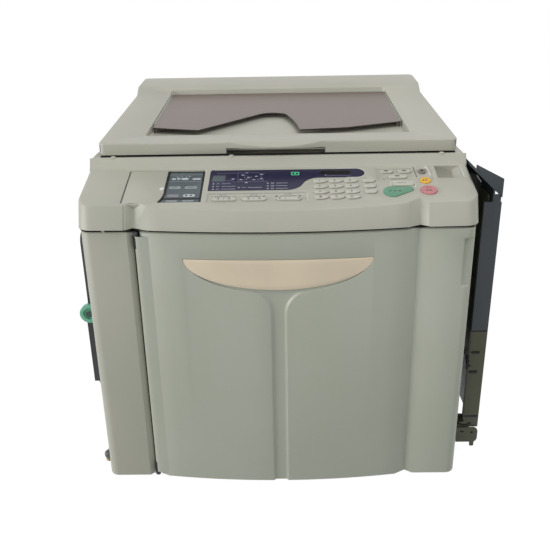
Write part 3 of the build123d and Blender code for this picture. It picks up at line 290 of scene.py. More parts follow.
def drumScreen():
    # Fine woven screen over perforated steel, green grey and slightly shiny; drawn at 2.5 mm so that it shows
    material, tree, place = newMaterial("screenWoven", Metallic=0.35, Roughness=0.42)
    weave = addNode(tree, "ShaderNodeTexVoronoi", {"feature": "F1"}, {
        "Vector": place, "Scale": perMetre(2.5), "Randomness": 0.0})
    spot = ranged(tree, weave.outputs["Distance"], 0.0, 1.0, 0.2, 0.5)
    colour = mixed(tree, spot, "3E5651", "7F938D")
    fillShader(material, Base_Color=colour, Normal=bumped(tree, spot, 0.5, 0.2))
    return material


def litLamp():
    # Green light-emitting diodes behind the film, seen as a soft even glow
    material, tree, place = newMaterial("ledGreen", Roughness=0.3, Emission_Strength=0.35)
    colour = mixed(tree, noise(tree, place, 4.0), "3FAE7C", "5CCB97")
    fillShader(material, Base_Color=colour, Emission_Color=colour)
    return material


for skin in (groundSteel(), smokedAcrylic(), polishedGlass(), drumScreen(), litLamp()):
    skins[skin.name] = skin
print("materials made:", len(skins))

# Piece helpers

sharpEdge = math.radians(35)  # edges that turn more than this get a radius
seam = 0.02 * mm  # points nearer than this are one point


def bodyOf(name):
    return nodes[name]["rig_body"]


def placePiece(name, mesh, body, skinNames, replaces=()):
    # Links a finished mesh, gives it its skins and says what it rides on
    piece = bpy.data.objects.new(name, mesh)
    scene.collection.objects.link(piece)
    if not mesh.materials:
        for skinName in skinNames:
            mesh.materials.append(skins[skinName])
    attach(piece, body)
    if replaces:
        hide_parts(*replaces)
    return piece


def bakedMesh(holder):
    # The holder's mesh with its modifiers applied; the holder goes
    graph = bpy.context.evaluated_depsgraph_get()
    solid = holder.evaluated_get(graph)
    mesh = bpy.data.meshes.new_from_object(solid, preserve_all_data_layers=True, depsgraph=graph)
    bpy.data.objects.remove(holder)
    return mesh


def plain(x, y, z):
    return Vector((x, y, z)) * mm


def boxOf(name):
    # Two corners of a CAD node in millimetres
    low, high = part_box(name)
    return low / mm, high / mm


def smoothed(mesh, degrees=None):
    mesh.polygons.foreach_set("use_smooth", [True] * len(mesh.polygons))
    if degrees:
        mesh.set_sharp_from_angle(angle=math.radians(degrees))
    return mesh


def written(bm, name):
    mesh = bpy.data.meshes.new(name)
    bm.to_mesh(mesh)
    bm.free()
    return mesh


def meshOf(build, name="work"):
    bm = bmesh.new()
    build(bm)
    bmesh.ops.recalc_face_normals(bm, faces=bm.faces)
    return written(bm, name)


def cleanCopy(name, **limits):
    # A CAD mesh in which the triangles of each flat face are one face again
    bm = bmesh.new()
    bm.from_mesh(nodes[name].data)
    bmesh.ops.remove_doubles(bm, verts=bm.verts, dist=seam)
    bmesh.ops.dissolve_limit(bm, angle_limit=math.radians(0.7), verts=bm.verts, edges=bm.edges, **limits)
    return bm


def bevelled(mesh, widthMm, segments=2, weighted=False, clamp=False):
    holder = bpy.data.objects.new("holder", mesh)
    scene.collection.objects.link(holder)
    modifier = holder.modifiers.new("edges", "BEVEL")
    modifier.width = widthMm * mm
    modifier.segments = segments
    modifier.limit_method = "WEIGHT" if weighted else "ANGLE"
    modifier.angle_limit = sharpEdge
    modifier.use_clamp_overlap = clamp
    return smoothed(bakedMesh(holder), 32)


# Softened copies of the moulded pieces: every edge gets the small radius that a mould leaves

softEdges = {
    # node: edge radius in mm, skins, whether the radius is held back on tight shapes
    "left_cover": (0.8, ["bodyAbs", "trayBlack"], False),
    "right_cover": (0.8, ["bodyAbs", "trayOlive"], False),
    "rear_cover": (0.6, ["bodyAbs"], True),
    "front_door": (0.9, ["doorAbs", "paintedShadeBlack"], False),
    "console_housing": (0.55, ["bodyAbs"], False),
    "scanner_housing": (1.0, ["bodyAbs"], True),
    "platen_cover": (0.8, ["bodyAbs"], True),
    "receiving_tray": (0.6, ["traySlate", "trayOlive"], False),
    "feed_tray": (0.8, ["trayBlack"], True),
    "feed_guide_front": (0.5, ["trayBlack"], True),
    "feed_guide_rear": (0.5, ["trayBlack"], True),
    "fence_front": (0.4, ["trayOlive"], True),
    "fence_rear": (0.4, ["trayOlive"], True),
    "end_stop": (0.5, ["trayOlive"], True),
    "position_dial": (0.6, ["dialGreen"], True),
    "disposal_box": (0.8, ["trayBlack"], True),
    "drum_carrier": (0.8, ["bodyAbs", "dialGreen"], True),
    "scan_carriage": (0.5, ["motorEnamel"], True),
    "power_switch": (0.5, ["rubberBlack"], True),
    "main_frame": (0.4, ["frameSteel"], True),
    "ink_cartridge": (0.6, ["inkBottle"], True),
    "stop_key": (0.9, ["keyRedAbs"], True),
    "reset_key": (0.8, ["keyYellowAbs"], True),
    "upper_key_4": (0.8, ["keyDarkAbs"], True),
    "proof_key": (0.8, ["keyAbs"], True),
}
for keyNode in nodes:
    if keyNode.startswith(("key_", "side_key_", "upper_key_", "function_rocker_")):
        softEdges.setdefault(keyNode, (0.8, ["keyAbs"], True))
# Upper front edges with a larger radius, mm: the rims under the gap and the console's crease
wideRounds = {"front_door": 4.0, "left_cover": 4.0, "console_housing": 3.2}
upperFront = {
    "frontY": -300.0,       # the edges in front of this plane
    "depth": 75.0,          # and not further below the piece's top
    "console": 500.0,       # a piece that reaches higher than this
    "consoleHalf": 190.0,   # has the large radius between these sides only
}
sideCover = 327.0  # pieces beyond this are outside the body
hingeLine = {"x": -233.0, "y": -308.0, "reach": 7.5, "ends": (34.0, 456.0)}
trayCut = 268.0  # the end brackets of the receiving tray are olive below this height


def outsideBody(place):
    return abs(place.x) > sideCover


def hingeKnuckleShade(place):
    # Knuckles and lugs at the two ends of the door's hinge line: painted black as shade, so that they read as
    # the gap
    atEnds = place.z < hingeLine["ends"][0] or place.z > hingeLine["ends"][1]
    return atEnds and math.hypot(place.x - hingeLine["x"], place.y - hingeLine["y"]) < hingeLine["reach"]


def trayEarsAndFlankShade(place):
    # Ears of the feed tray outside the body, in the tray's own black, and the column's flank in the gap beside
    # the door, painted black as shade
    return place.x < -sideCover or (place.x > -238.4 and -320 < place.y < -290)


def endBrackets(place):
    return place.z < trayCut and (place.y < -240 or place.y > 200)


def bowHandle(place):
    # The bow in front of the carrier's plate is green, as a hand-hold
    return place.y < -277


zones = {  # where a cover shows its second skin
    "right_cover": outsideBody,
    "receiving_tray": endBrackets,
    "front_door": hingeKnuckleShade,
    "left_cover": trayEarsAndFlankShade,
    "drum_carrier": bowHandle,
}


def edgeWeights(bm, widest, widthMm, topHeight):
    # Full weight on the upper front edges, the small radius on all other sharp edges
    layer = bm.edges.layers.float.new("bevel_weight_edge")
    lowest = topHeight - upperFront["depth"]
    for edge in bm.edges:
        if len(edge.link_faces) != 2 or edge.calc_face_angle(0) < sharpEdge:
            continue
        ends = [vert.co / mm for vert in edge.verts]
        clear = topHeight < upperFront["console"] or all(abs(end.x) < upperFront["consoleHalf"] for end in ends)
        front = clear and all(end.y < upperFront["frontY"] and end.z > lowest for end in ends)
        facing = any(face.normal.y < -0.5 for face in edge.link_faces)
        upper = any(face.normal.z > 0.9 for face in edge.link_faces)
        edge[layer] = 1.0 if front and facing and upper else widthMm / widest


def softCover(name, widthMm, skinNames, clamp):
    bm = cleanCopy(name, delimit={"NORMAL"})
    if name == "receiving_tray":
        everything = bm.verts[:] + bm.edges[:] + bm.faces[:]
        bmesh.ops.bisect_plane(bm, geom=everything, plane_co=(0, 0, trayCut * mm), plane_no=(0, 0, 1))
    weighted = name in wideRounds
    if weighted:
        edgeWeights(bm, wideRounds[name], widthMm, boxOf(name)[1].z)
    mesh = bevelled(written(bm, name), wideRounds.get(name, widthMm), 3 if weighted else 2, weighted, clamp)
    mesh.materials.clear()
    placePiece(name + "_moulded", mesh, bodyOf(name), skinNames, [name])
    if name in zones:
        for polygon in mesh.polygons:
            polygon.material_index = 1 if zones[name](polygon.center / mm) else 0


for coverName, coverSettings in softEdges.items():
    softCover(coverName, *coverSettings)
print("covers softened:", len(softEdges))

# Finish of the CAD nodes that stay

nodeSkins = {
    "feet": "rubberBlack",
    "stage_glass": "glassFloat",
    "scan_rods": "steelGround",
    "lid_hinges": "steelGround",
    "main_motor": "motorEnamel",
    "platen_pad": "padFilm",
    "print_drum": "screenWoven",
    "pressure_roller": "rollerRubber",
    "feed_roller": "rollerRubber",
    "master_roll": "masterFilm",
    "start_key": "keyGreenAbs",
}


def finishNodes():
    for name, node in nodes.items():
        skinName = softEdges[name][1][0] if name in softEdges else nodeSkins.get(name, "keyAbs")
        node.data.materials.clear()
        node.data.materials.append(skins[skinName])
    windows = nodes["panel_windows"].data
    windows.materials.clear()
    windows.materials.append(skins["filmNavy"])
    windows.materials.append(skins["filmSlate"])
    for polygon in windows.polygons:
        isSubPanel = polygon.center.x < -0.120
        polygon.material_index = int(isSubPanel)


finishNodes()
print("nodes finished")

# Flat shapes on the sloping panel, drawn as thin slabs: x to the right, y to the rear, lift above the panel

panel = {
    "frontY": -300.0,
    "frontZ": 531.0,
    "slope": 0.2667,
    "display": -0.3,    # lifts of the printed faces
    "subPanel": -3.1,
    "console": -0.8,
    "keyTop": 2.0,
    "overprint": 0.12,  # an ink on top of another
}
tilt = math.atan(panel["slope"])


def onPanel(x, y, lift):
    height = panel["frontZ"] + panel["slope"] * (y - panel["frontY"]) + math.cos(tilt) * lift
    return plain(x, y - math.sin(tilt) * lift, height)


def onFront(y):
    # Shapes in X and Z on an upright face that looks towards the user
    return lambda x, z, lift: plain(x, y - lift, z)


def bar(x0, x1, y0, y1):
    return [(x0, y0), (x1, y0), (x1, y1), (x0, y1)]


def arc(x, y, radius, turns, squash=1.0):
    return [(x + radius * math.cos(turn), y + squash * radius * math.sin(turn)) for turn in turns]


def disc(x, y, radius, sides=14, squash=1.0):
    return arc(x, y, radius, [2 * math.pi * side / sides for side in range(sides)], squash)


def pill(x0, x1, y0, y1, sides=6):
    radius = (y1 - y0) / 2
    middle = (y0 + y1) / 2
    turns = [-math.pi / 2 + math.pi * step / sides for step in range(sides + 1)]
    return arc(x1 - radius, middle, radius, turns) + arc(x0 + radius, middle, -radius, turns)


def stroke(start, end, width):
    along = Vector((end[0] - start[0], end[1] - start[1])).normalized()
    side = Vector((-along.y, along.x)) * width / 2
    return [(start[0] - side.x, start[1] - side.y), (end[0] - side.x, end[1] - side.y),
            (end[0] + side.x, end[1] + side.y), (start[0] + side.x, start[1] + side.y)]


def path(points, width):
    return [stroke(start, end, width) for start, end in zip(points, points[1:])]


def dashes(x0, x1, y, high, count, fill=0.6):
    step = (x1 - x0) / count
    low, top = y - high / 2, y + high / 2
    return [bar(x0 + place * step, x0 + (place + fill) * step, low, top) for place in range(count)]


def slab(bm, outline, low, high, place):
    top = [bm.verts.new(place(x, y, high)) for x, y in outline]
    foot = [bm.verts.new(place(x, y, low)) for x, y in outline]
    bm.faces.new(top)
    bm.faces.new(foot[::-1])
    for start in range(len(outline)):
        end = (start + 1) % len(outline)
        bm.faces.new((foot[start], foot[end], top[end], top[start]))


def slabMesh(outline, low, high, place=plain):
    return meshOf(lambda bm: slab(bm, outline, low, high, place))


def drawn(name, outlines, lift, skin, body="machine", place=onPanel, thick=0.12):
    def build(bm):
        for outline in outlines:
            slab(bm, outline, lift - 0.05, lift + thick, place)
    return placePiece(name, meshOf(build, name), body, [skin])


def boxLine(x0, x1, y0, y1, width):
    return path([(x0, y1), (x1, y1), (x1, y0), (x0, y0), (x0, y1)], width)


def drawDisplay():
    lift = panel["display"]
    edge = [(-116.3, -258), (-115.9, -199), (-114.8, -195.6), (-112.2, -194), (-108.6, -194), (-114.6, -261),
            (-115.6, -260.4)]
    drawn("displayLeftEdge", [edge[::-1]], 0, "filmNavy", thick=0.08)
    rules = [bar(-104, -70, -205.2, -204.4), bar(-30, -22, -206.8, -206), bar(-112, -16, -233.9, -233.3)]
    rules += path([(-68, -203.4), (-31.3, -204.4), (-23, -230.6), (-67.1, -232), (-68, -203.4)], 0.7)
    rules += path([(-88, -228), (-74, -227.5)], 0.8) + path([(-56, -212), (-44, -218)], 0.6)
    rules += path([(-62, -228), (-50, -222), (-38, -228)], 0.6)
    drawn("displayTints", [bar(-112, -89, -230.5, -211.5)], lift, "filmSlate")
    drawn("displayRules", rules, lift + panel["overprint"], "inkViolet")
    marks = [pill(x - 2.6, x + 2.6, y - 1.1, y + 1.1) for x, y in (
        (-59.3, -210.7), (-49.6, -219), (-36.2, -215.4), (-62.3, -225.6), (-40.1, -226.2), (-27, -209.6),
        (-27.7, -223.5), (-75.5, -223.3), (-52.6, -235.7), (-53, -203.8))]
    marks += [disc(x, y, 0.9, 8) for x, y in ((-52.5, -224.9), (-44.5, -217.5), (-33, -225.5), (-56, -217.5))]
    for row, y in enumerate((-238.4, -246.8, -255.2)):
        marks += [pill(-109.6, -106.2, y - 1.1, y + 1.1), pill(-17.8, -14.4, y - 1.1, y + 1.1)]
        marks += path([(-103, y - 1.2), (-100.5, y + 1.2), (-97.5, y - 1)], 0.7)
        marks += dashes(-93.5, -79 if row == 0 else -70, y, 1.1, 6 if row == 0 else 11, 0.7)
        marks += boxLine(-10.4, -6, y - 1.3, y + 1.3, 0.6)
        marks += dashes(-2, 17.5, y, 1.3, 9, 0.68)
    marks += [pill(-66.4, -63, -252, -249.9)] + path([(-60, -249.6), (-56.5, -252), (-53, -250.6)], 0.8)
    marks += dashes(-49.5, -26, -251.2, 1.2, 12, 0.75)
    drawn("displayMarks", marks, lift, "inkPale")
    lamp = boxLine(24.6, 36.6, -212.6, -204, 1.9) + [bar(29, 32.4, -210, -206.4)]
    drawn("displayLamp", lamp, lift, "ledGreen")
    drawn("displayReadout", [pill(73, 126.5, -211.6, -201.2, 3)], lift, "filmBrown")
    drawn("displayUnderline", [bar(81, 84, -216.6, -212.8), bar(84, 126, -217.2, -216.4)], lift, "inkViolet")


def drawSubPanel():
    lift = panel["subPanel"]
    borderAndShadow = path([(-188, -193.6), (-126.9, -193.6)], 3.2) + path([(-127.4, -192.5), (-127.4, -293.6)], 3.6)
    borderAndShadow += [bar(-193, -129, -281.4, -276.6)]
    # Along the sliding cover's right edge: the cover's painted shadow on the panel
    borderAndShadow += path([(-187.8, -193), (-187.9, -262), (-190.2, -276), (-193.6, -287), (-196, -293.4)], 4.2)
    drawn("subBorderAndShadow", borderAndShadow, lift, "filmBlack")
    rules = [bar(-190, -129, -225.2, -224.4), bar(-190, -129, -203, -202.4)]
    rules += dashes(-178, -150, -206.5, 0.9, 8, 0.4)
    drawn("subRules", rules, lift, "inkGreyPill")
    pale = [pill(*ends) for ends in (
        (-181.4, -174.5, -219.4, -213.6), (-173, -166.5, -219.8, -211.5), (-165.2, -152.3, -219.4, -213),
        (-146, -131.4, -219.6, -214.4))]
    pale += [disc(-151.5, -207.6, 1.3, 8)] + [disc(x, -209.6, 0.9, 8) for x in (-173, -165, -157)]
    drawn("subPillsPale", pale, lift, "inkWhite")
    grey = [pill(*ends) for ends in (
        (-183.5, -162.7, -248.4, -240.4), (-156.5, -135.2, -248.4, -240.4), (-156.7, -137.3, -287.6, -283.4))]
    drawn("subPillsGrey", grey + [bar(-183.5, -165, -287.4, -283.6)], lift, "inkGreyPill")
    drawn("subPillRose", [pill(-183.4, -163.2, -273, -265.6)], lift, "inkRosePill")
    drawn("subPillLit", [pill(-156.8, -136.5, -273.2, -265.2)], lift, "inkWhite")
    dots = [disc(-151.4, -269, 2.1, 10), disc(-143.4, -269, 2.1, 10)]
    dots += dashes(-152, -140, -244.4, 1.6, 4) + dashes(-178, -168, -244.4, 1.2, 3)
    dots += [disc(-154, -237.4, 0.9, 8), disc(-147, -237, 0.9, 8)]
    drawn("subDots", dots, lift + panel["overprint"], "inkBlackPrint")


def drawLabels():
    # Small dark marks on the panel round the rockers and the upper keys
    marks = [disc(-107.4, -278.4, 1.2, 8), disc(-22.1, -278.2, 2.0, 8), bar(-3.4, 0.4, -280, -276.8)]
    marks += dashes(-95, -89.5, -272.6, 1.8, 2, 0.7) + dashes(-88, -83.5, -272.6, 1.8, 2, 0.7)
    marks += dashes(-103, -76.4, -278.5, 2.2, 8, 0.75) + dashes(-73, -66, -278.7, 1.6, 3)
    marks += dashes(-44, -39.5, -273.4, 1.9, 2, 0.7) + dashes(-37.5, -33, -273.6, 1.9, 2, 0.7)
    marks += dashes(-51.5, -25.6, -278.8, 2.2, 8, 0.75) + [disc(-55, -278.8, 1.0, 8)]
    marks += dashes(12, 17.5, -272.6, 1.6, 2, 0.7) + [bar(18.6, 23, -273.4, -271.6)]
    marks += [bar(4.3, 31.1, -279.2, -277.8), bar(35.4, 38.8, -280, -276.8)]
    marks += path([(17.8, -279), (17.8, -282)], 0.8)
    lift = panel["console"]
    drawn("functionLabels", marks, lift, "inkDark")
    upper = [disc(173 + 5.6 * step, -198.2 + 0.16 * step, 1.15, 8) for step in range(11)]
    upper += [disc(240 + 5.1 * step, -200.6 + 0.3 * step, 1.0, 8) for step in range(4)]
    upper += [disc(181, -230, 1.2, 8), stroke((235.4, -190.5), (236.8, -225), 1.3)]
    drawn("upperLabels", upper, lift, "inkDark")
    # A raised ridge beside the upper keys and a thin ridge round the proof key, light with painted highlight
    ridge = path([(256.4, -190.5), (258.6, -196), (260.2, -207), (260.6, -219)], 2.4)
    drawn("upperRidge", ridge, lift, "paintedHighlight", thick=1.0)
    proofEdge = [(189.9, -252), (189.9, -243), (192.4, -239.4), (228.4, -239.4), (231.4, -243), (231.4, -250.5),
                 (229.6, -256), (227.8, -261)]
    drawn("proofEdge", path(proofEdge, 1.4), 0, "paintedHighlight", thick=0.5)
    sides = ((149, -226.6), (151, -244.6), (152.5, -261.6))
    drawn("keyLabels", [mark for x, y in sides for mark in dashes(x - 3, x + 3, y, 1.2, 3)], 0, "inkDark")


def drawEdges():
    # Painted highlights on the rims of the display and of the frames, painted shade on the lines that stay
    # dark, and the clip tray's well with a painted shade floor and a painted highlight edge
    turns = [math.radians(90 - 12 * step) for step in range(16)]
    rim = [(135 + 15.7 * math.cos(turn), -208.5 + 15.2 * math.sin(turn)) for turn in turns]
    highlightLines = path([(104, -193.3), (135, -193.3)] + rim + [(118, -223.7)], 1.3)
    highlightLines += [bar(49.2, 50.8, -295, -271), bar(-124.4, -122.9, -203, -192.4)]
    drawn("frameEdgesHighlight", highlightLines, 0, "paintedHighlight", thick=0.25)
    dark = [bar(-115.8, -115.1, -295.4, -270), bar(-115, 49, -270.2, -269.6)]
    drawn("frameEdgesShade", dark, 0, "inkGreyPill")
    drawn("clipTrayFloorShade", [bar(272.4, 302.6, -228.6, -189.4)], -9.0, "wellFloorShade")
    drawn("clipTrayEdgeHighlight", [bar(315.8, 317.6, -227, -190)], 0, "paintedHighlight", thick=0.25)


def keyMark(key, outlines, skin="inkDark", name=None):
    # Each mark lies on its own key and moves with it
    drawn(name or key + "_mark", outlines, panel["keyTop"], skin, key + "_body")


def drawKeyMarks():
    for number, (x, y) in enumerate(((186.5, -206.8), (217.5, -206.6), (203.5, -224.3)), 1):
        keyMark(f"upper_key_{number}", [pill(x - 4, x + 4, y - 1.6, y + 1.6)])
    keyMark("upper_key_4", [disc(248, -208, 2.6, 12)], skin="inkBlackPrint")
    keyMark("proof_key", dashes(201, 216, -246, 1.5, 5))
    waves = [path([(x - 2.4, -273), (x - 0.6, -270), (x + 0.8, -272.6), (x + 2.4, -269.6)], 1.5)
             for x in (185.5, 193.6, 201.6)]
    keyMark("start_key", sum(waves, []), name="start_mark")
    dots = [disc(245.4, -239.6, 1.9, 10), disc(250.4, -239.2, 1.9, 10)]
    keyMark("reset_key", dots, name="reset_mark")
    halt = [disc(246.6, -270.6, 2.0, 10), disc(252, -270.4, 2.0, 10)] + dashes(246, 256, -262.5, 1.4, 3)
    keyMark("stop_key", halt, name="stop_mark")
    for number, x in enumerate((-87.5, -38.0, 19.5)):
        isLast = number == 2
        reach = 15.5 if isLast else 9
        dots = [disc(x - reach, -288.6, 1.7, 10), disc(x + reach, -288.6, 1.7, 10)]
        dots += path([(x - 6.4, -290.6), (x - 6.4, -287)] if isLast else [(x, -290.6), (x, -286.4)], 0.8)
        keyMark(f"function_rocker_{number + 1}", dots)


keypad = {
    "columns": (72.0, 98.0, 124.0),
    "rows": (-236.0, -253.0, -270.0, -286.0),
    "sideColumn": 154.0,
    "size": 7.4,        # height of a figure
    "shift": -1.5,      # figures sit left of the key's middle
    "shadeGap": 0.7,    # the line round a key, its distance and width
    "shadeWidth": 0.8,
}


def shadeLine(x, y, half, radius=5.0, tip=None):
    # A line of painted shade: it runs along the front edge and round the right end of a key, just clear of its
    # sides
    reach = radius + keypad["shadeGap"]
    right = x + half - radius
    turns = [math.radians(-90 + 22 * step) for step in range(1, 6)]
    points = [(right, y - reach)] + arc(right, y, reach, turns)
    if tip:
        points = [(x + dx, y + dy) for dx, dy in tip]
    return path([(x - half + radius, y - reach)] + points, keypad["shadeWidth"])


def drawKeyShades():
    tip = [(3, -5.7), (5.66, -5.04), (11.53, -1.95), (12.6, -0.6), (12.7, 0.8), (11.9, 1.8)]
    lines = [shadeLine(x, y, 12.0, tip=tip) for x in keypad["columns"] for y in keypad["rows"]]
    lines += [shadeLine(keypad["sideColumn"], y, 10.5) for y in keypad["rows"][:3]]
    drawn("keyShades", sum(lines, []), 0, "keyShade", thick=0.06)
    upper = [shadeLine(*key) for key in ((187, -207, 11.5), (218, -207, 11.5), (204, -224.5, 16))]
    drawn("upperKeyShades", sum(upper, []), panel["console"], "keyShade", thick=0.06)


def figureMesh(character):
    # A plain sans figure, as thick as a layer of ink
    curve = bpy.data.curves.new("figure", "FONT")
    curve.body = character
    curve.size = keypad["size"] * mm
    curve.align_x = "CENTER"
    curve.align_y = "CENTER"
    curve.extrude = 0.08 * mm
    curve.offset = 0.12 * mm
    holder = bpy.data.objects.new("figure", curve)
    scene.collection.objects.link(holder)
    mesh = bakedMesh(holder)
    bpy.data.curves.remove(curve)
    return mesh


def placeFigure(name, character, x, y):
    mesh = figureMesh(character)
    for vert in mesh.vertices:
        flat = vert.co / mm
        vert.co = onPanel(x + flat.x, y + flat.y * math.cos(tilt), panel["keyTop"] + flat.z)
    placePiece(name + "_figure", mesh, name + "_body", ["inkDark"])


def drawFigures():
    names = ("one", "two", "three", "four", "five", "six", "seven", "eight", "nine", "star", "zero", "clear")
    for place, name in enumerate(names):
        key = "key_" + name
        x = keypad["columns"][place % 3] + keypad["shift"]
        y = keypad["rows"][place // 3]
        if name == "star":
            arms = arc(0, 0, 2.6, (0, math.pi / 3, 2 * math.pi / 3))
            keyMark(key, [stroke((x - dx, y - dy), (x + dx, y + dy), 1.0) for dx, dy in arms])
        elif name == "clear":
            turns = [math.radians(40 + 280 * step / 8) for step in range(9)]
            keyMark(key, path(arc(x, y, 2.7, turns), 0.9))
        else:
            placeFigure(key, "0" if name == "zero" else str(place + 1), x, y)


drawDisplay()
drawSubPanel()
drawLabels()
drawEdges()
drawKeyMarks()
drawKeyShades()
drawFigures()
print("panel printed")

# Sliding cover over the left half of the sub panel: its right edge swings out to the front, with a finger tab


def makeSlidingCover():
    low, high = -2.8, panel["console"]
    edge = [(-189.4, -262), (-190.4, -272), (-192.6, -281), (-195.6, -288), (-197.6, -293.6)]
    outline = [(-254.8, -293.6)] + edge[::-1] + [(-190.2, -252), (-190.0, -192.5), (-254.8, -192.5)]
    mesh = bevelled(slabMesh(outline, low, high, onPanel), 0.45)
    placePiece("sub_panel_slide", mesh, "sub_cover", ["bodyAbs"], ["sub_panel_cover"])
    # The finger tab is light with painted highlight
    tab = slabMesh(disc(-193.6, -251.6, 4.0, 24, 1.2), high - 0.4, high + 1.1, onPanel)
    placePiece("sub_panel_slide_tab", bevelled(tab, 0.6, 3), "sub_cover", ["paintedHighlight"])


makeSlidingCover()

# Start key: a broad egg that narrows to the right

startKey = {"wide": (189.8, -271.3, 15.0), "narrow": (218.4, -264.4, 6.8), "low": -2.4}


def eggOutline(wide, narrow, sides=40):
    # Outline round a large and a small circle, with straight flanks
    apart = Vector((narrow[0] - wide[0], narrow[1] - wide[1]))
    heading = math.atan2(apart.y, apart.x)
    lean = math.acos((wide[2] - narrow[2]) / apart.length)
    points = []
    for (x, y, radius), first, last in ((narrow, heading - lean, heading + lean),
                                        (wide, heading + lean, heading - lean + 2 * math.pi)):
        turns = [first + (last - first) * step / (sides // 2) for step in range(sides // 2 + 1)]
        points += arc(x, y, radius, turns)
    return points


def makeStartKey():
    outline = eggOutline(startKey["wide"], startKey["narrow"])
    mesh = bevelled(slabMesh(outline, startKey["low"], panel["keyTop"], onPanel), 0.9, 3)
    placePiece("start_key_egg", mesh, bodyOf("start_key"), ["keyGreenAbs"], ["start_key"])


makeStartKey()

# Nameplate: bare champagne plate in its half-elliptical seat, bent with the door

door = {
    "crownY": -331.0,
    "endY": -315.0,
    "halfWide": 212.0,
    "plateHalf": 156.4,
    "plateTop": 443.5,
    "plateDrop": 53.2,
    "shadeStripEnds": (-211.0, 211.0, 319.0),  # the shade strip follows the bulge, then runs straight
    "shadeStripBehind": 4.6,
    "shadeStripBack": -289.0,
}
bulge = door["endY"] - door["crownY"]
doorRadius = (door["halfWide"] ** 2 + bulge ** 2) / (2 * bulge)


def doorFront(x):
    return door["crownY"] + doorRadius - math.sqrt(doorRadius ** 2 - x * x)


def bentPlate(bm, half, top, drop, front, back, columns=64, rows=6):
    # front and back are depths from the door's bulged face; a plate between them, closed all round
    layers = []
    for depth in (front, back):
        grid = []
        for column in range(columns + 1):
            turn = math.pi * (1 - column / columns)
            x = half * math.cos(turn)
            low = top - drop * math.sin(turn)
            heights = [low + (top - low) * row / rows for row in range(rows + 1)]
            grid.append([bm.verts.new(plain(x, doorFront(x) + depth, height)) for height in heights])
        layers.append(grid)
    for grid, way in zip(layers, (1, -1)):
        for column in range(columns):
            for row in range(rows):
                near, far = grid[column], grid[column + 1]
                bm.faces.new([near[row], far[row], far[row + 1], near[row + 1]][::way])
    for column in range(columns):
        for row in (0, rows):
            front = [layers[0][column][row], layers[0][column + 1][row]]
            bm.faces.new(front + [layers[1][column + 1][row], layers[1][column][row]])
    bmesh.ops.remove_doubles(bm, verts=bm.verts, dist=seam)


def makeNameplate():
    half, top, drop = (door[key] for key in ("plateHalf", "plateTop", "plateDrop"))
    plate = meshOf(lambda bm: bentPlate(bm, half, top, drop, 0.15, 1.4))
    placePiece("nameplate_blank", bevelled(plate, 0.5), "door", ["plateChampagne"])
    rim = meshOf(lambda bm: bentPlate(bm, half + 0.5, top + 0.4, drop + 0.5, 0.75, 1.45))
    placePiece("nameplate_seat", rim, "door", ["plateRim"])


makeNameplate()

# Rolled left edge of the door: it hides the knuckles and leaves a thin dark gap beside the column

roll = {
    "low": 11.0,
    "high": 480.5,
    "outer": ((-235.4, -305.0), (-235.4, -309.2), (-234.2, -311.8), (-231.5, -313.4), (-226.0, -314.4),
              (-211.5, -315.1)),
    "inner": ((-211.5, -313.6), (-226.0, -312.9), (-231.0, -311.9), (-233.2, -309.8), (-234.0, -305.0)),
}


def makeDoorRoll():
    outline = list(roll["outer"] + roll["inner"])[::-1]
    mesh = smoothed(slabMesh(outline, roll["low"], roll["high"]), 50)
    placePiece("door_rolled_edge", mesh, "door", ["doorAbs"])


makeDoorRoll()

# A near-black strip on the door's upper rim, set back from the rounded edge: painted shade for the gap under
# the console


def makeDoorGapShade():
    top = boxOf("front_door")[1].z
    left, corner, right = door["shadeStripEnds"]
    back = door["shadeStripBack"]
    curve = [left + (corner - left) * step / 24 for step in range(25)]
    runs = [[(x, doorFront(x)) for x in curve], [(corner, -312.0), (right, -312.0)]]

    def build(bm):
        for run in runs:
            for (x0, y0), (x1, y1) in zip(run, run[1:]):
                front = [(x0, y0 + door["shadeStripBehind"]), (x1, y1 + door["shadeStripBehind"])]
                slab(bm, front + [(x1, back), (x0, back)], top - 0.1, top + 1.2, plain)
        bmesh.ops.remove_doubles(bm, verts=bm.verts, dist=seam / 2)
    placePiece("door_gap_shade", meshOf(build), "door", ["paintedShadeBlack"])


makeDoorGapShade()
print("door dressed")

# Smoked sheet in the lid: dark polished edge, a line of it seen from above, two turned-down corners

sheet = {
    "edgeBand": 0.9,
    "legThick": 1.6,
    "legLong": 7.0,
    "legDrop": (13.0, 4.6),     # foot and head of the legs below the lid's face
    "legs": ((-233.0, -64.0), (233.0, -42.0)),
}
lidFace = {"frontY": -175.0, "frontZ": 604.5, "backY": 204.0, "backZ": 630.0}


def lidHeight(y):
    slope = (lidFace["backZ"] - lidFace["frontZ"]) / (lidFace["backY"] - lidFace["frontY"])
    return lidFace["frontZ"] + slope * (y - lidFace["frontY"])


def makeSmokedSheet():
    bm = cleanCopy("pocket_sheet")
    for face in bm.faces:
        face.material_index = 1
    tops = [face for face in bm.faces if face.normal.z > 0.5]
    bmesh.ops.inset_individual(bm, faces=tops, thickness=sheet["edgeBand"] * mm, use_even_offset=True)
    for face in tops + [face for face in bm.faces if face.normal.z < -0.5]:
        face.material_index = 0
    mesh = written(bm, "sheet")
    skinNames = ["acrylicSmoked", "acrylicEdge"]
    placePiece("pocket_sheet_smoked", mesh, "lid", skinNames, ["pocket_sheet"])

    def legs(bm):
        for x, y in sheet["legs"]:
            low, high = (lidHeight(y) - drop for drop in sheet["legDrop"])
            x0, x1 = sorted((x, x - math.copysign(sheet["legThick"], x)))
            slab(bm, bar(x0, x1, y + 0.3, y + sheet["legLong"]), low, high, plain)
    placePiece("pocket_sheet_legs", bevelled(meshOf(legs), 0.3), "lid", ["acrylicEdge"])


makeSmokedSheet()

# Bumpers on the deck, where the lid comes down, and a near-black strip under the lid's front edge: painted
# shade for the gap

bumpers = {"places": ((-288.0, -176.0), (-80.0, -176.0), (287.0, -176.0)), "radius": 5.0, "high": 2.6}


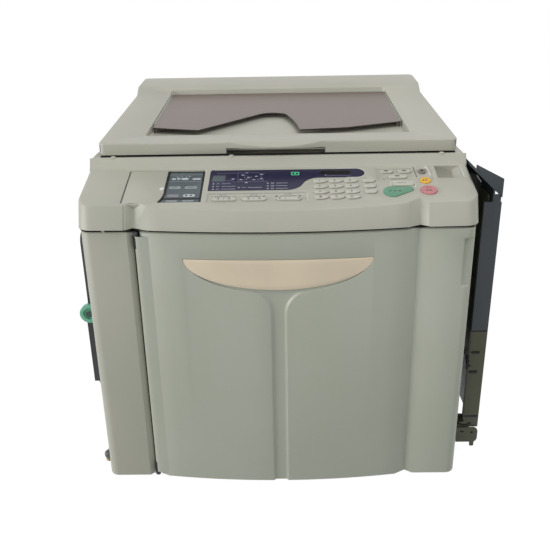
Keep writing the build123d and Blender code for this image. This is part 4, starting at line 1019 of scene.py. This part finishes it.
def turned(bm, profile, sides, place):
    # profile: (radius, height) pairs; a radius of zero closes an end
    loops = []
    for radius, height in profile:
        spots = disc(0, 0, radius, sides) if radius else [(0, 0)]
        loops.append([bm.verts.new(place(x, y, height)) for x, y in spots])
    for low, high in zip(loops, loops[1:]):
        for side in range(sides):
            nxt = (side + 1) % sides
            corners = [low[side % len(low)], low[nxt % len(low)]]
            corners += [high[nxt % len(high)], high[side % len(high)]]
            unique = list(dict.fromkeys(corners))
            if len(unique) > 2:
                bm.faces.new(unique)
    return loops


def dome(bm, x, y, z, radius, high, rings=5):
    # A low dome with a closed foot
    turns = [math.pi / 2 * ring / rings for ring in range(rings)]
    profile = [(radius * math.cos(turn), high * math.sin(turn)) for turn in turns] + [(0, high)]
    loops = turned(bm, profile, 24, lambda a, b, height: plain(x + a, y + b, z + height))
    bm.faces.new(loops[0][::-1])


def makeBumpers():
    deck = boxOf("scanner_housing")[1].z

    def build(bm):
        for x, y in bumpers["places"]:
            dome(bm, x, y, deck - 0.1, bumpers["radius"], bumpers["high"])
    placePiece("lid_bumpers", smoothed(meshOf(build)), "machine", ["keyAbs"])
    gapShadeStrip = slabMesh(bar(-311, 311, -173.5, -166), deck - 0.1, deck + 1.6)
    placePiece("deck_gap_shade", gapShadeStrip, "machine", ["paintedShadeBlack"])


makeBumpers()
print("lid dressed")

# Geometry Nodes for what repeats: rows of bars, rows of screws and rings of ribs


def newTree(name, sizes):
    tree = bpy.data.node_groups.new(name, "GeometryNodeTree")
    tree.interface.new_socket("Geometry", in_out="OUTPUT", socket_type="NodeSocketGeometry")
    kinds = {int: "NodeSocketInt", float: "NodeSocketFloat", tuple: "NodeSocketVector"}
    for label, value in sizes.items():
        socket = tree.interface.new_socket(label, in_out="INPUT", socket_type=kinds[type(value)])
        socket.default_value = value
    return tree, addNode(tree, "NodeGroupInput").outputs


def made(tree, kind, **inputs):
    inputs = {name.replace("_", " "): value for name, value in inputs.items()}
    return addNode(tree, "GeometryNode" + kind, None, inputs).outputs[0]


def together(tree, *pieces):
    join = addNode(tree, "GeometryNodeJoinGeometry")
    for piece in pieces:
        tree.links.new(piece, join.inputs[0])
    return join.outputs[0]


def closeTree(tree, points, piece, turn, skin=None):
    # A copy of the piece on each point, in one skin unless the piece brings its own
    copies = made(tree, "InstanceOnPoints", Points=points, Instance=piece, Rotation=turn)
    whole = made(tree, "RealizeInstances", Geometry=copies)
    if skin:
        whole = made(tree, "SetMaterial", Geometry=whole, Material=skin)
    tree.links.new(whole, addNode(tree, "NodeGroupOutput").inputs[0])
    return tree


def barRowTree(skin):
    # Equal bars at equal steps along a line, each turned by the same angle
    tree, sizes = newTree("barRow", {
        "Count": 5, "Step": (0.0, 0.0, 0.01), "Bar": (0.1, 0.002, 0.002), "Turn": (0.0, 0.0, 0.0)})
    line = made(tree, "MeshLine", Count=sizes["Count"], Offset=sizes["Step"])
    return closeTree(tree, line, made(tree, "MeshCube", Size=sizes["Bar"]), sizes["Turn"], skin)


def screwRowTree(skin, dark):
    # Pan heads with a cross recess, at equal steps along a line; the heads look along local Z. The recess is a
    # black cross on the head: painted shade
    tree, sizes = newTree("screwRow", {
        "Count": 4, "Step": (0.0, 0.0, 0.1), "Turn": (0.0, 0.0, 0.0), "Radius": 0.004, "Height": 0.0016,
        "Top": 0.0026, "Slot": (0.0046, 0.0011, 0.0004), "Slot Place": (0.0, 0.0, 0.00145)})
    line = made(tree, "MeshLine", Count=sizes["Count"], Offset=sizes["Step"])
    head = made(tree, "MeshCone", Vertices=20, Radius_Top=sizes["Top"], Radius_Bottom=sizes["Radius"],
                Depth=sizes["Height"])
    slot = made(tree, "MeshCube", Size=sizes["Slot"])
    across = made(tree, "Transform", Geometry=slot, Rotation=(0.0, 0.0, math.pi / 2))
    cross = made(tree, "Transform", Geometry=together(tree, slot, across), Translation=sizes["Slot Place"])
    whole = together(tree, made(tree, "SetMaterial", Geometry=head, Material=skin),
                     made(tree, "SetMaterial", Geometry=cross, Material=dark))
    return closeTree(tree, line, whole, sizes["Turn"])


def ribRingTree(skin):
    # Ribs round a rim, like the teeth of a coin's edge; the ring lies in the local XY plane
    tree, sizes = newTree("ribRing", {"Count": 36, "Radius": 0.018, "Rib": (0.001, 0.0016, 0.01)})
    ring = made(tree, "MeshCircle", Vertices=sizes["Count"], Radius=sizes["Radius"])
    share = maths(tree, "DIVIDE", made(tree, "InputIndex"), sizes["Count"])
    turn = addNode(tree, "ShaderNodeCombineXYZ", None, {"Z": maths(tree, "MULTIPLY", share, 2 * math.pi)})
    return closeTree(tree, ring, made(tree, "MeshCube", Size=sizes["Rib"]), turn.outputs[0], skin)


def grown(name, tree, sizes, body, place, turn=Matrix.Identity(4)):
    holder = bpy.data.objects.new(name, bpy.data.meshes.new(name))
    scene.collection.objects.link(holder)
    modifier = holder.modifiers.new("grow", "NODES")
    modifier.node_group = tree
    for item in tree.interface.items_tree:
        if item.in_out == "INPUT" and item.name in sizes:
            modifier[item.identifier] = sizes[item.name]
    mesh = bakedMesh(holder)
    mesh.transform(Matrix.Translation(place) @ turn)
    return placePiece(name, mesh, body, [])


def screwLine(name, first, step, count, turn, body="machine", radius=4.0):
    sizes = {"Count": count, "Step": tuple(value * mm for value in step), "Turn": turn, "Radius": radius * mm}
    grown(name, screws, sizes, body, plain(*first))


screws = screwRowTree(skins["screwZinc"], skins["inkBlackPrint"])
# The way the heads look
sideLeft = (0.0, -math.pi / 2, 0.0)
sideRight = (0.0, math.pi / 2, 0.0)
rearward = (-math.pi / 2, 0.0, 0.0)
frontward = (math.pi / 2, 0.0, 0.0)
upward = (0.0, 0.0, 0.0)
countersunk = 1.4  # heads on the rear lie almost flush


def makeScrews():
    rear = boxOf("rear_cover")[1].y - countersunk
    edgeStep = (0, 0, (boxOf("rear_cover")[1].z - 44) / 4)
    rows = {
        # name: first screw, step, count, the way the heads look
        "rear_screws_left": ((-308, rear, 24), edgeStep, 5, rearward),
        "rear_screws_right": ((308, rear, 24), edgeStep, 5, rearward),
        "rear_screws_middle": ((-100, rear, 24), (200, 0, 0), 2, rearward),
        "scanner_screws": ((-290, rear, 510), (290, 0, 0), 3, rearward),
        "left_side_screws": ((-325.4, 318, 24), (0, 0, 220), 3, sideLeft),
        "left_front_screws": ((-325.4, -285, 110), (0, 0, 340), 2, sideLeft),
        "right_side_screws": ((325.4, 318, 24), (0, 0, 220), 3, sideRight),
        "right_front_screws": ((325.4, -272, 110), (0, 0, 340), 2, sideRight),
        "frame_screws_left": ((-70, -262.8, 250), (0, 0, 110), 2, frontward, "machine", 3.5),
        "frame_screws_right": ((165, -262.8, 250), (0, 0, 110), 2, frontward, "machine", 3.5),
        "handle_screws": ((-40, -276.4, 190), (0, 0, 150), 2, frontward, "drum_unit", 3.5),
    }
    for name, row in rows.items():
        screwLine(name, *row)


def makeRows():
    # Scale beside the glass, vents, ribs across the tray, and what is knurled or treaded; in metres
    low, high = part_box("stage_glass")
    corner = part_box("rear_cover")[1]
    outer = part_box("receiving_tray")[1].x
    foot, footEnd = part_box("feet")
    lying = Matrix.Rotation(math.pi / 2, 4, "X")
    ticks = barRowTree(skins["inkDark"])
    grown("scale_ticks_rear", ticks, {"Count": 43, "Step": (0.010, 0, 0), "Bar": (0.0008, 0.005, 0.0003)},
          "machine", (-0.210, high.y + 0.0055, high.z + 0.0001))
    grown("scale_ticks_left", ticks, {"Count": 31, "Step": (0, 0.010, 0), "Bar": (0.005, 0.0008, 0.0003)},
          "machine", (low.x - 0.0055, low.y + 0.008, high.z + 0.0001))
    louvres = barRowTree(skins["trayBlack"])
    vents = {"Count": 9, "Step": (0, 0, -0.014), "Bar": (0.150, 0.0012, 0.0062)}
    vents["Turn"] = (math.radians(35), 0, 0)
    for label, x in (("left", -0.170), ("right", 0.170)):
        place = (x, corner.y - 0.005, corner.z - 0.090)
        grown(f"vent_louvres_{label}", louvres, vents, "machine", place)
    grown("tray_cross_ribs", barRowTree(skins["traySlate"]),
          {"Count": 5, "Step": (0, 0, 0.085), "Bar": (0.0035, 0.440, 0.003)},
          "out_tray", (outer - 0.0135, -0.020, 0.130))
    grown("dial_ribs", ribRingTree(skins["dialGreen"]),
          {"Count": 40, "Radius": 0.0179, "Rib": (0.0011, 0.0015, 0.0095)},
          "dial", (-0.3615, -0.1859, 0.283), lying)
    soles = ribRingTree(skins["rubberBlack"])
    ribs = {"Count": 28, "Radius": 0.0213, "Rib": (0.0014, 0.002, 0.0086)}
    for label, x in (("left", foot.x + 0.022), ("right", footEnd.x - 0.022)):
        for end, y in (("front", foot.y + 0.022), ("rear", footEnd.y - 0.022)):
            grown(f"foot_ribs_{label}_{end}", soles, ribs, "machine", (x, y, 0.0048))
    grown("feed_roller_treads", ribRingTree(skins["rollerRubber"]),
          {"Count": 32, "Radius": 0.0198, "Rib": (0.0012, 0.0016, 0.088)},
          "feeding", (-0.255, -0.020, 0.250), lying)


makeScrews()
makeRows()
print("repeats grown")

# Turned pieces: the small knob low on the left side, and the steel ends of the drum


def turnedPiece(name, profile, place, body, skin, sides=36):
    mesh = smoothed(meshOf(lambda bm: turned(bm, profile, sides, place), name), 40)
    placePiece(name, mesh, body, [skin])


def makeKnob():
    # Height catch of the lower cover: a round head on a stem with a brass foot
    head = [(0, -1), (5.2, -0.6), (7.4, 2.2), (8.0, 6.5), (7.2, 10.6), (4.6, 13.4), (0, 14.2)]
    stem = [(0, 0), (3.0, 0), (3.0, 10), (0, 10)]
    foot = [(0, 0), (3.4, 0.2), (5.6, 2.4), (6.0, 5.4), (5.4, 7.6), (0, 8.2)]

    def upright(z):
        return lambda a, b, height: plain(-331.5 + a, -280 + b, z + height)

    def outward(a, b, height):
        return plain(-324.5 - height, -280 + a, 32 + b)
    turnedPiece("catch_knob", head, upright(22), "machine", "knobGrey")
    turnedPiece("catch_stem", stem, outward, "machine", "knobGrey", 24)
    turnedPiece("catch_foot", foot, upright(13.5), "machine", "knobBrass", 28)
    strut = path([(-329.4, 37), (-327.2, 53)], 2.2)
    drawn("catch_strut", strut, 0, "knobGrey", "machine", onFront(-281), 2.0)


makeKnob()


def makeSmallLeftPieces():
    hub = [disc(-361.5, 283, 6.6, 28)]
    drawn("dial_hub", hub, 0, "dialHub", "dial", onFront(-191.9), 0.2)
    # A small catch in the gap at the top of the column, light with painted highlight
    catch = [stroke((-288.5, 492.2), (-283, 489.4), 1.8)]
    drawn("gap_catch", catch, 0, "paintedHighlight", "machine", onFront(-309), 3.0)


makeSmallLeftPieces()


def makeDrumTrim():
    low, high = boxOf("print_drum")
    x = (low.x + high.x) / 2
    z = (low.z + high.z) / 2
    radius = (high.x - low.x) / 2
    outer = radius + 0.15
    inner = 57.5
    band = [(inner, 0), (outer, 0), (outer, 9.0), (radius - 0.6, 9.6), (inner, 9.6), (inner, 0)]
    for label, start in (("front", low.y - 0.2), ("rear", high.y - 9.4)):
        turnedPiece(f"drum_band_{label}", band, lambda a, b, height: plain(x + a, start + height, z + b),
                    "drum", "steelGround", 96)
    clamp = slabMesh(bar(x - 8, x + 8, low.y + 21, high.y - 21), z + radius - 0.9, z + radius + 0.1)
    placePiece("drum_clamp_bar", bevelled(clamp, 0.3), "drum", ["steelGround"])
    first = (x, low.y + 45, z + radius - countersunk)
    screwLine("drum_clamp_screws", first, (0, 62, 0), 6, upward, "drum", 3.0)


makeDrumTrim()

# Receiving tray: holes, slots and lines on the bracket plate's front, near black as painted shade, and painted
# highlights on some edges


def drawTray():
    place = onFront(boxOf("receiving_tray")[0].y)
    holes = path([(339, 70), (344, 68.5), (349, 66.5), (354, 66), (359, 68.5), (364, 71)], 4.2)
    holes += [pill(351, 368, 222.5, 227.5), pill(350, 367, 181.5, 186.5)]
    holes += [bar(351, 375, 85.4, 87.8), bar(346, 377.4, 267.4, 269.4)]
    holes += [disc(351, 197, 2.4), disc(349, 206, 1.6), bar(345.6, 349, 190, 220)]
    drawn("tray_holes", holes, 0, "paintedShadeBlack", "out_tray", place, 0.3)
    # Light strokes along the edges of holes and slots: painted highlights
    bright = [bar(352, 374.6, 83.0, 84.8)]
    bright += [stroke((346.2, 90), (346.6, 178), 1.1), stroke((346.4, 222), (346.8, 268), 1.1)]
    bright += [stroke((350.6, 179.6), (366, 179.4), 0.9), stroke((351.6, 220.6), (367, 220.4), 0.9)]
    drawn("tray_highlight_edges", bright, 0, "traySlate", "out_tray", place, 0.35)
    rim = path([(331.6, 559), (339.4, 548)], 1.2)
    drawn("tray_cap_rim", rim, 0, "screwZinc", "out_tray", place, 0.3)


drawTray()

# Bracket on the machine's side that the receiving tray folds on, with a small hook below

bracket = {"front": -254.0, "back": -250.4, "round": 1.2}


def makeFootBracket():
    outline = [(324.6, 33), (340, 29.4), (364.6, 29.4), (364.8, 21.4), (366, 20.2), (371.6, 20.2),
               (373, 21.4), (373.2, 30), (376.6, 33), (378.4, 37), (378.4, 55), (376, 60), (371, 62.6),
               (340, 62.6), (336, 60), (324.6, 60)]
    plate = slabMesh(outline[::-1], -bracket["back"], -bracket["front"], onFront(0))
    placePiece("tray_foot_bracket", bevelled(plate, bracket["round"]), "machine", ["trayOlive"])
    holes = [pill(344, 352, 52, 56), disc(367, 52, 2.6, 14)]
    # The holes are near-black slabs: painted shade
    drawn("foot_bracket_marks", holes, 0, "paintedShadeBlack", "machine", onFront(bracket["front"]), 0.2)


makeFootBracket()
print("trays dressed")

# Rear: power inlet and a service cover; scanner bay: white reference strip and dark floor


def makeRearPieces():
    rear = boxOf("rear_cover")[1].y

    def at(x, z, lift):
        return plain(-x, rear + lift, z)

    def plate(outline):
        return bevelled(slabMesh(outline, -0.6, 0.3, at), 0.25)
    inlet = plate(bar(-252, -216, 60, 88))
    placePiece("power_inlet_frame", inlet, "machine", ["rubberBlack"])
    well = [(-248, 64), (-220, 64), (-220, 78), (-225, 84), (-243, 84), (-248, 78)]
    # The inlet's well is a near-black slab: painted shade
    drawn("power_inlet_well", [well], 0.3, "paintedShadeBlack", "machine", at, 0.1)
    pins = [bar(-242.5, -240.5, 68, 75), bar(-227.5, -225.5, 68, 75), bar(-235, -233, 73, 80)]
    drawn("power_inlet_pins", pins, 0.4, "screwZinc", "machine", at, 0.1)
    placePiece("rear_service_cover", plate(bar(-120, 60, 70, 240)), "machine", ["bodyAbs"])
    for label, height in (("top", 230), ("low", 80)):
        first = (112, rear - countersunk + 0.1, height)
        screwLine(f"service_screws_{label}", first, (-164, 0, 0), 2, rearward)


def makeScannerPieces():
    low, high = boxOf("stage_glass")
    drawn("reference_strip", [bar(low.x + 7, low.x + 19, low.y + 6, high.y - 6)], low.z - 0.3, "noticeWhite",
          "machine", plain, 0.2)
    floor = slabMesh(bar(-318, 318, -170, 328), 496.2, 497.0)
    placePiece("scanner_floor", floor, "machine", ["motorEnamel"])
    low, high = boxOf("scan_carriage")
    lamp = slabMesh(bar(low.x + 14, low.x + 22, low.y + 12, high.y - 12), high.z - 9, high.z - 3)
    placePiece("scan_lamp", bevelled(lamp, 1.6), "carriage", ["noticeWhite"])


makeRearPieces()
makeScannerPieces()
print("rear and scanner dressed")

# Studio: white floor that keeps a faint shadow, sky light, a large low window on the left, a softer one above


lamps = {
    "windowLamp": dict(place=(-7.0, -4.5, 0.9), aim=(0, 0, 0.35), size=3.0, power=215),
    "sideLamp": dict(place=(-7.0, -2.0, 1.6), aim=(0, 0, 0.35), size=3.0, power=165),
    "frontLamp": dict(place=(1.4, -5.0, 1.6), aim=(0, 0, 0.35), size=3.0, power=14),
    "topLamp": dict(place=(1.2, -1.3, 3.5), aim=(0, 0, 0.5), size=2.6, power=39),
}
studio = {
    "skyPower": 0.47,
    "floorHalf": 60.0,     # metres
    "floorDrop": 0.0004,
    "floorGlow": 1.09,     # its own light, so that the floor is white in the picture
    "floorGlowShare": 0.87,
}


def shader(tree, kind, **inputs):
    return addNode(tree, "ShaderNode" + kind, None, inputs).outputs[0]


def mixShader(tree, factor, first, second):
    return addNode(tree, "ShaderNodeMixShader", None, {0: factor, 1: first, 2: second}).outputs[0]


def seenByEye(tree):
    # 1 for rays from the camera, a mirror or glass, so that all three find the same white
    rays = addNode(tree, "ShaderNodeLightPath").outputs
    first = maths(tree, "MAXIMUM", rays["Is Camera Ray"], rays["Is Glossy Ray"])
    return maths(tree, "MAXIMUM", first, rays["Is Transmission Ray"])


def emptyTree(owner):
    owner.use_nodes = True
    owner.node_tree.nodes.clear()
    return owner.node_tree


def makeStudio():
    for name, lamp in lamps.items():
        data = bpy.data.lights.new(name, "AREA")
        data.size = lamp["size"]
        data.energy = lamp["power"]
        light = bpy.data.objects.new(name, data)
        light.location = lamp["place"]
        ray = Vector(lamp["aim"]) - Vector(lamp["place"])
        light.rotation_euler = ray.to_track_quat("-Z", "Y").to_euler()
        scene.collection.objects.link(light)
    scene.world = bpy.data.worlds.new("studioSky")
    tree = emptyTree(scene.world)
    sky = shader(tree, "Background", Color=hexColour("FBFCFF"), Strength=studio["skyPower"])
    white = shader(tree, "Background", Color=(1, 1, 1, 1), Strength=1.0)
    addNode(tree, "ShaderNodeOutputWorld", None, {"Surface": mixShader(tree, seenByEye(tree), sky, white)})


def makeFloor():
    half = studio["floorHalf"]
    mesh = bpy.data.meshes.new("floor")
    corners = [(x, y, -studio["floorDrop"]) for x, y in bar(-half, half, -half, half)]
    mesh.from_pydata(corners, [], [(0, 1, 2, 3)])
    floor = bpy.data.objects.new("floor", mesh)
    scene.collection.objects.link(floor)
    material = bpy.data.materials.new("floorPaper")  # matt studio paper
    tree = emptyTree(material)
    paper = shader(tree, "BsdfDiffuse", Color=hexColour("6F776A"))
    bright = shader(tree, "BsdfDiffuse", Color=(1, 1, 1, 1))
    glow = shader(tree, "Emission", Color=(1, 1, 1, 1), Strength=studio["floorGlow"])
    shown = mixShader(tree, studio["floorGlowShare"], bright, glow)
    surface = mixShader(tree, seenByEye(tree), paper, shown)
    addNode(tree, "ShaderNodeOutputMaterial", None, {"Surface": surface})
    mesh.materials.append(material)


makeStudio()
makeFloor()
print("studio made")
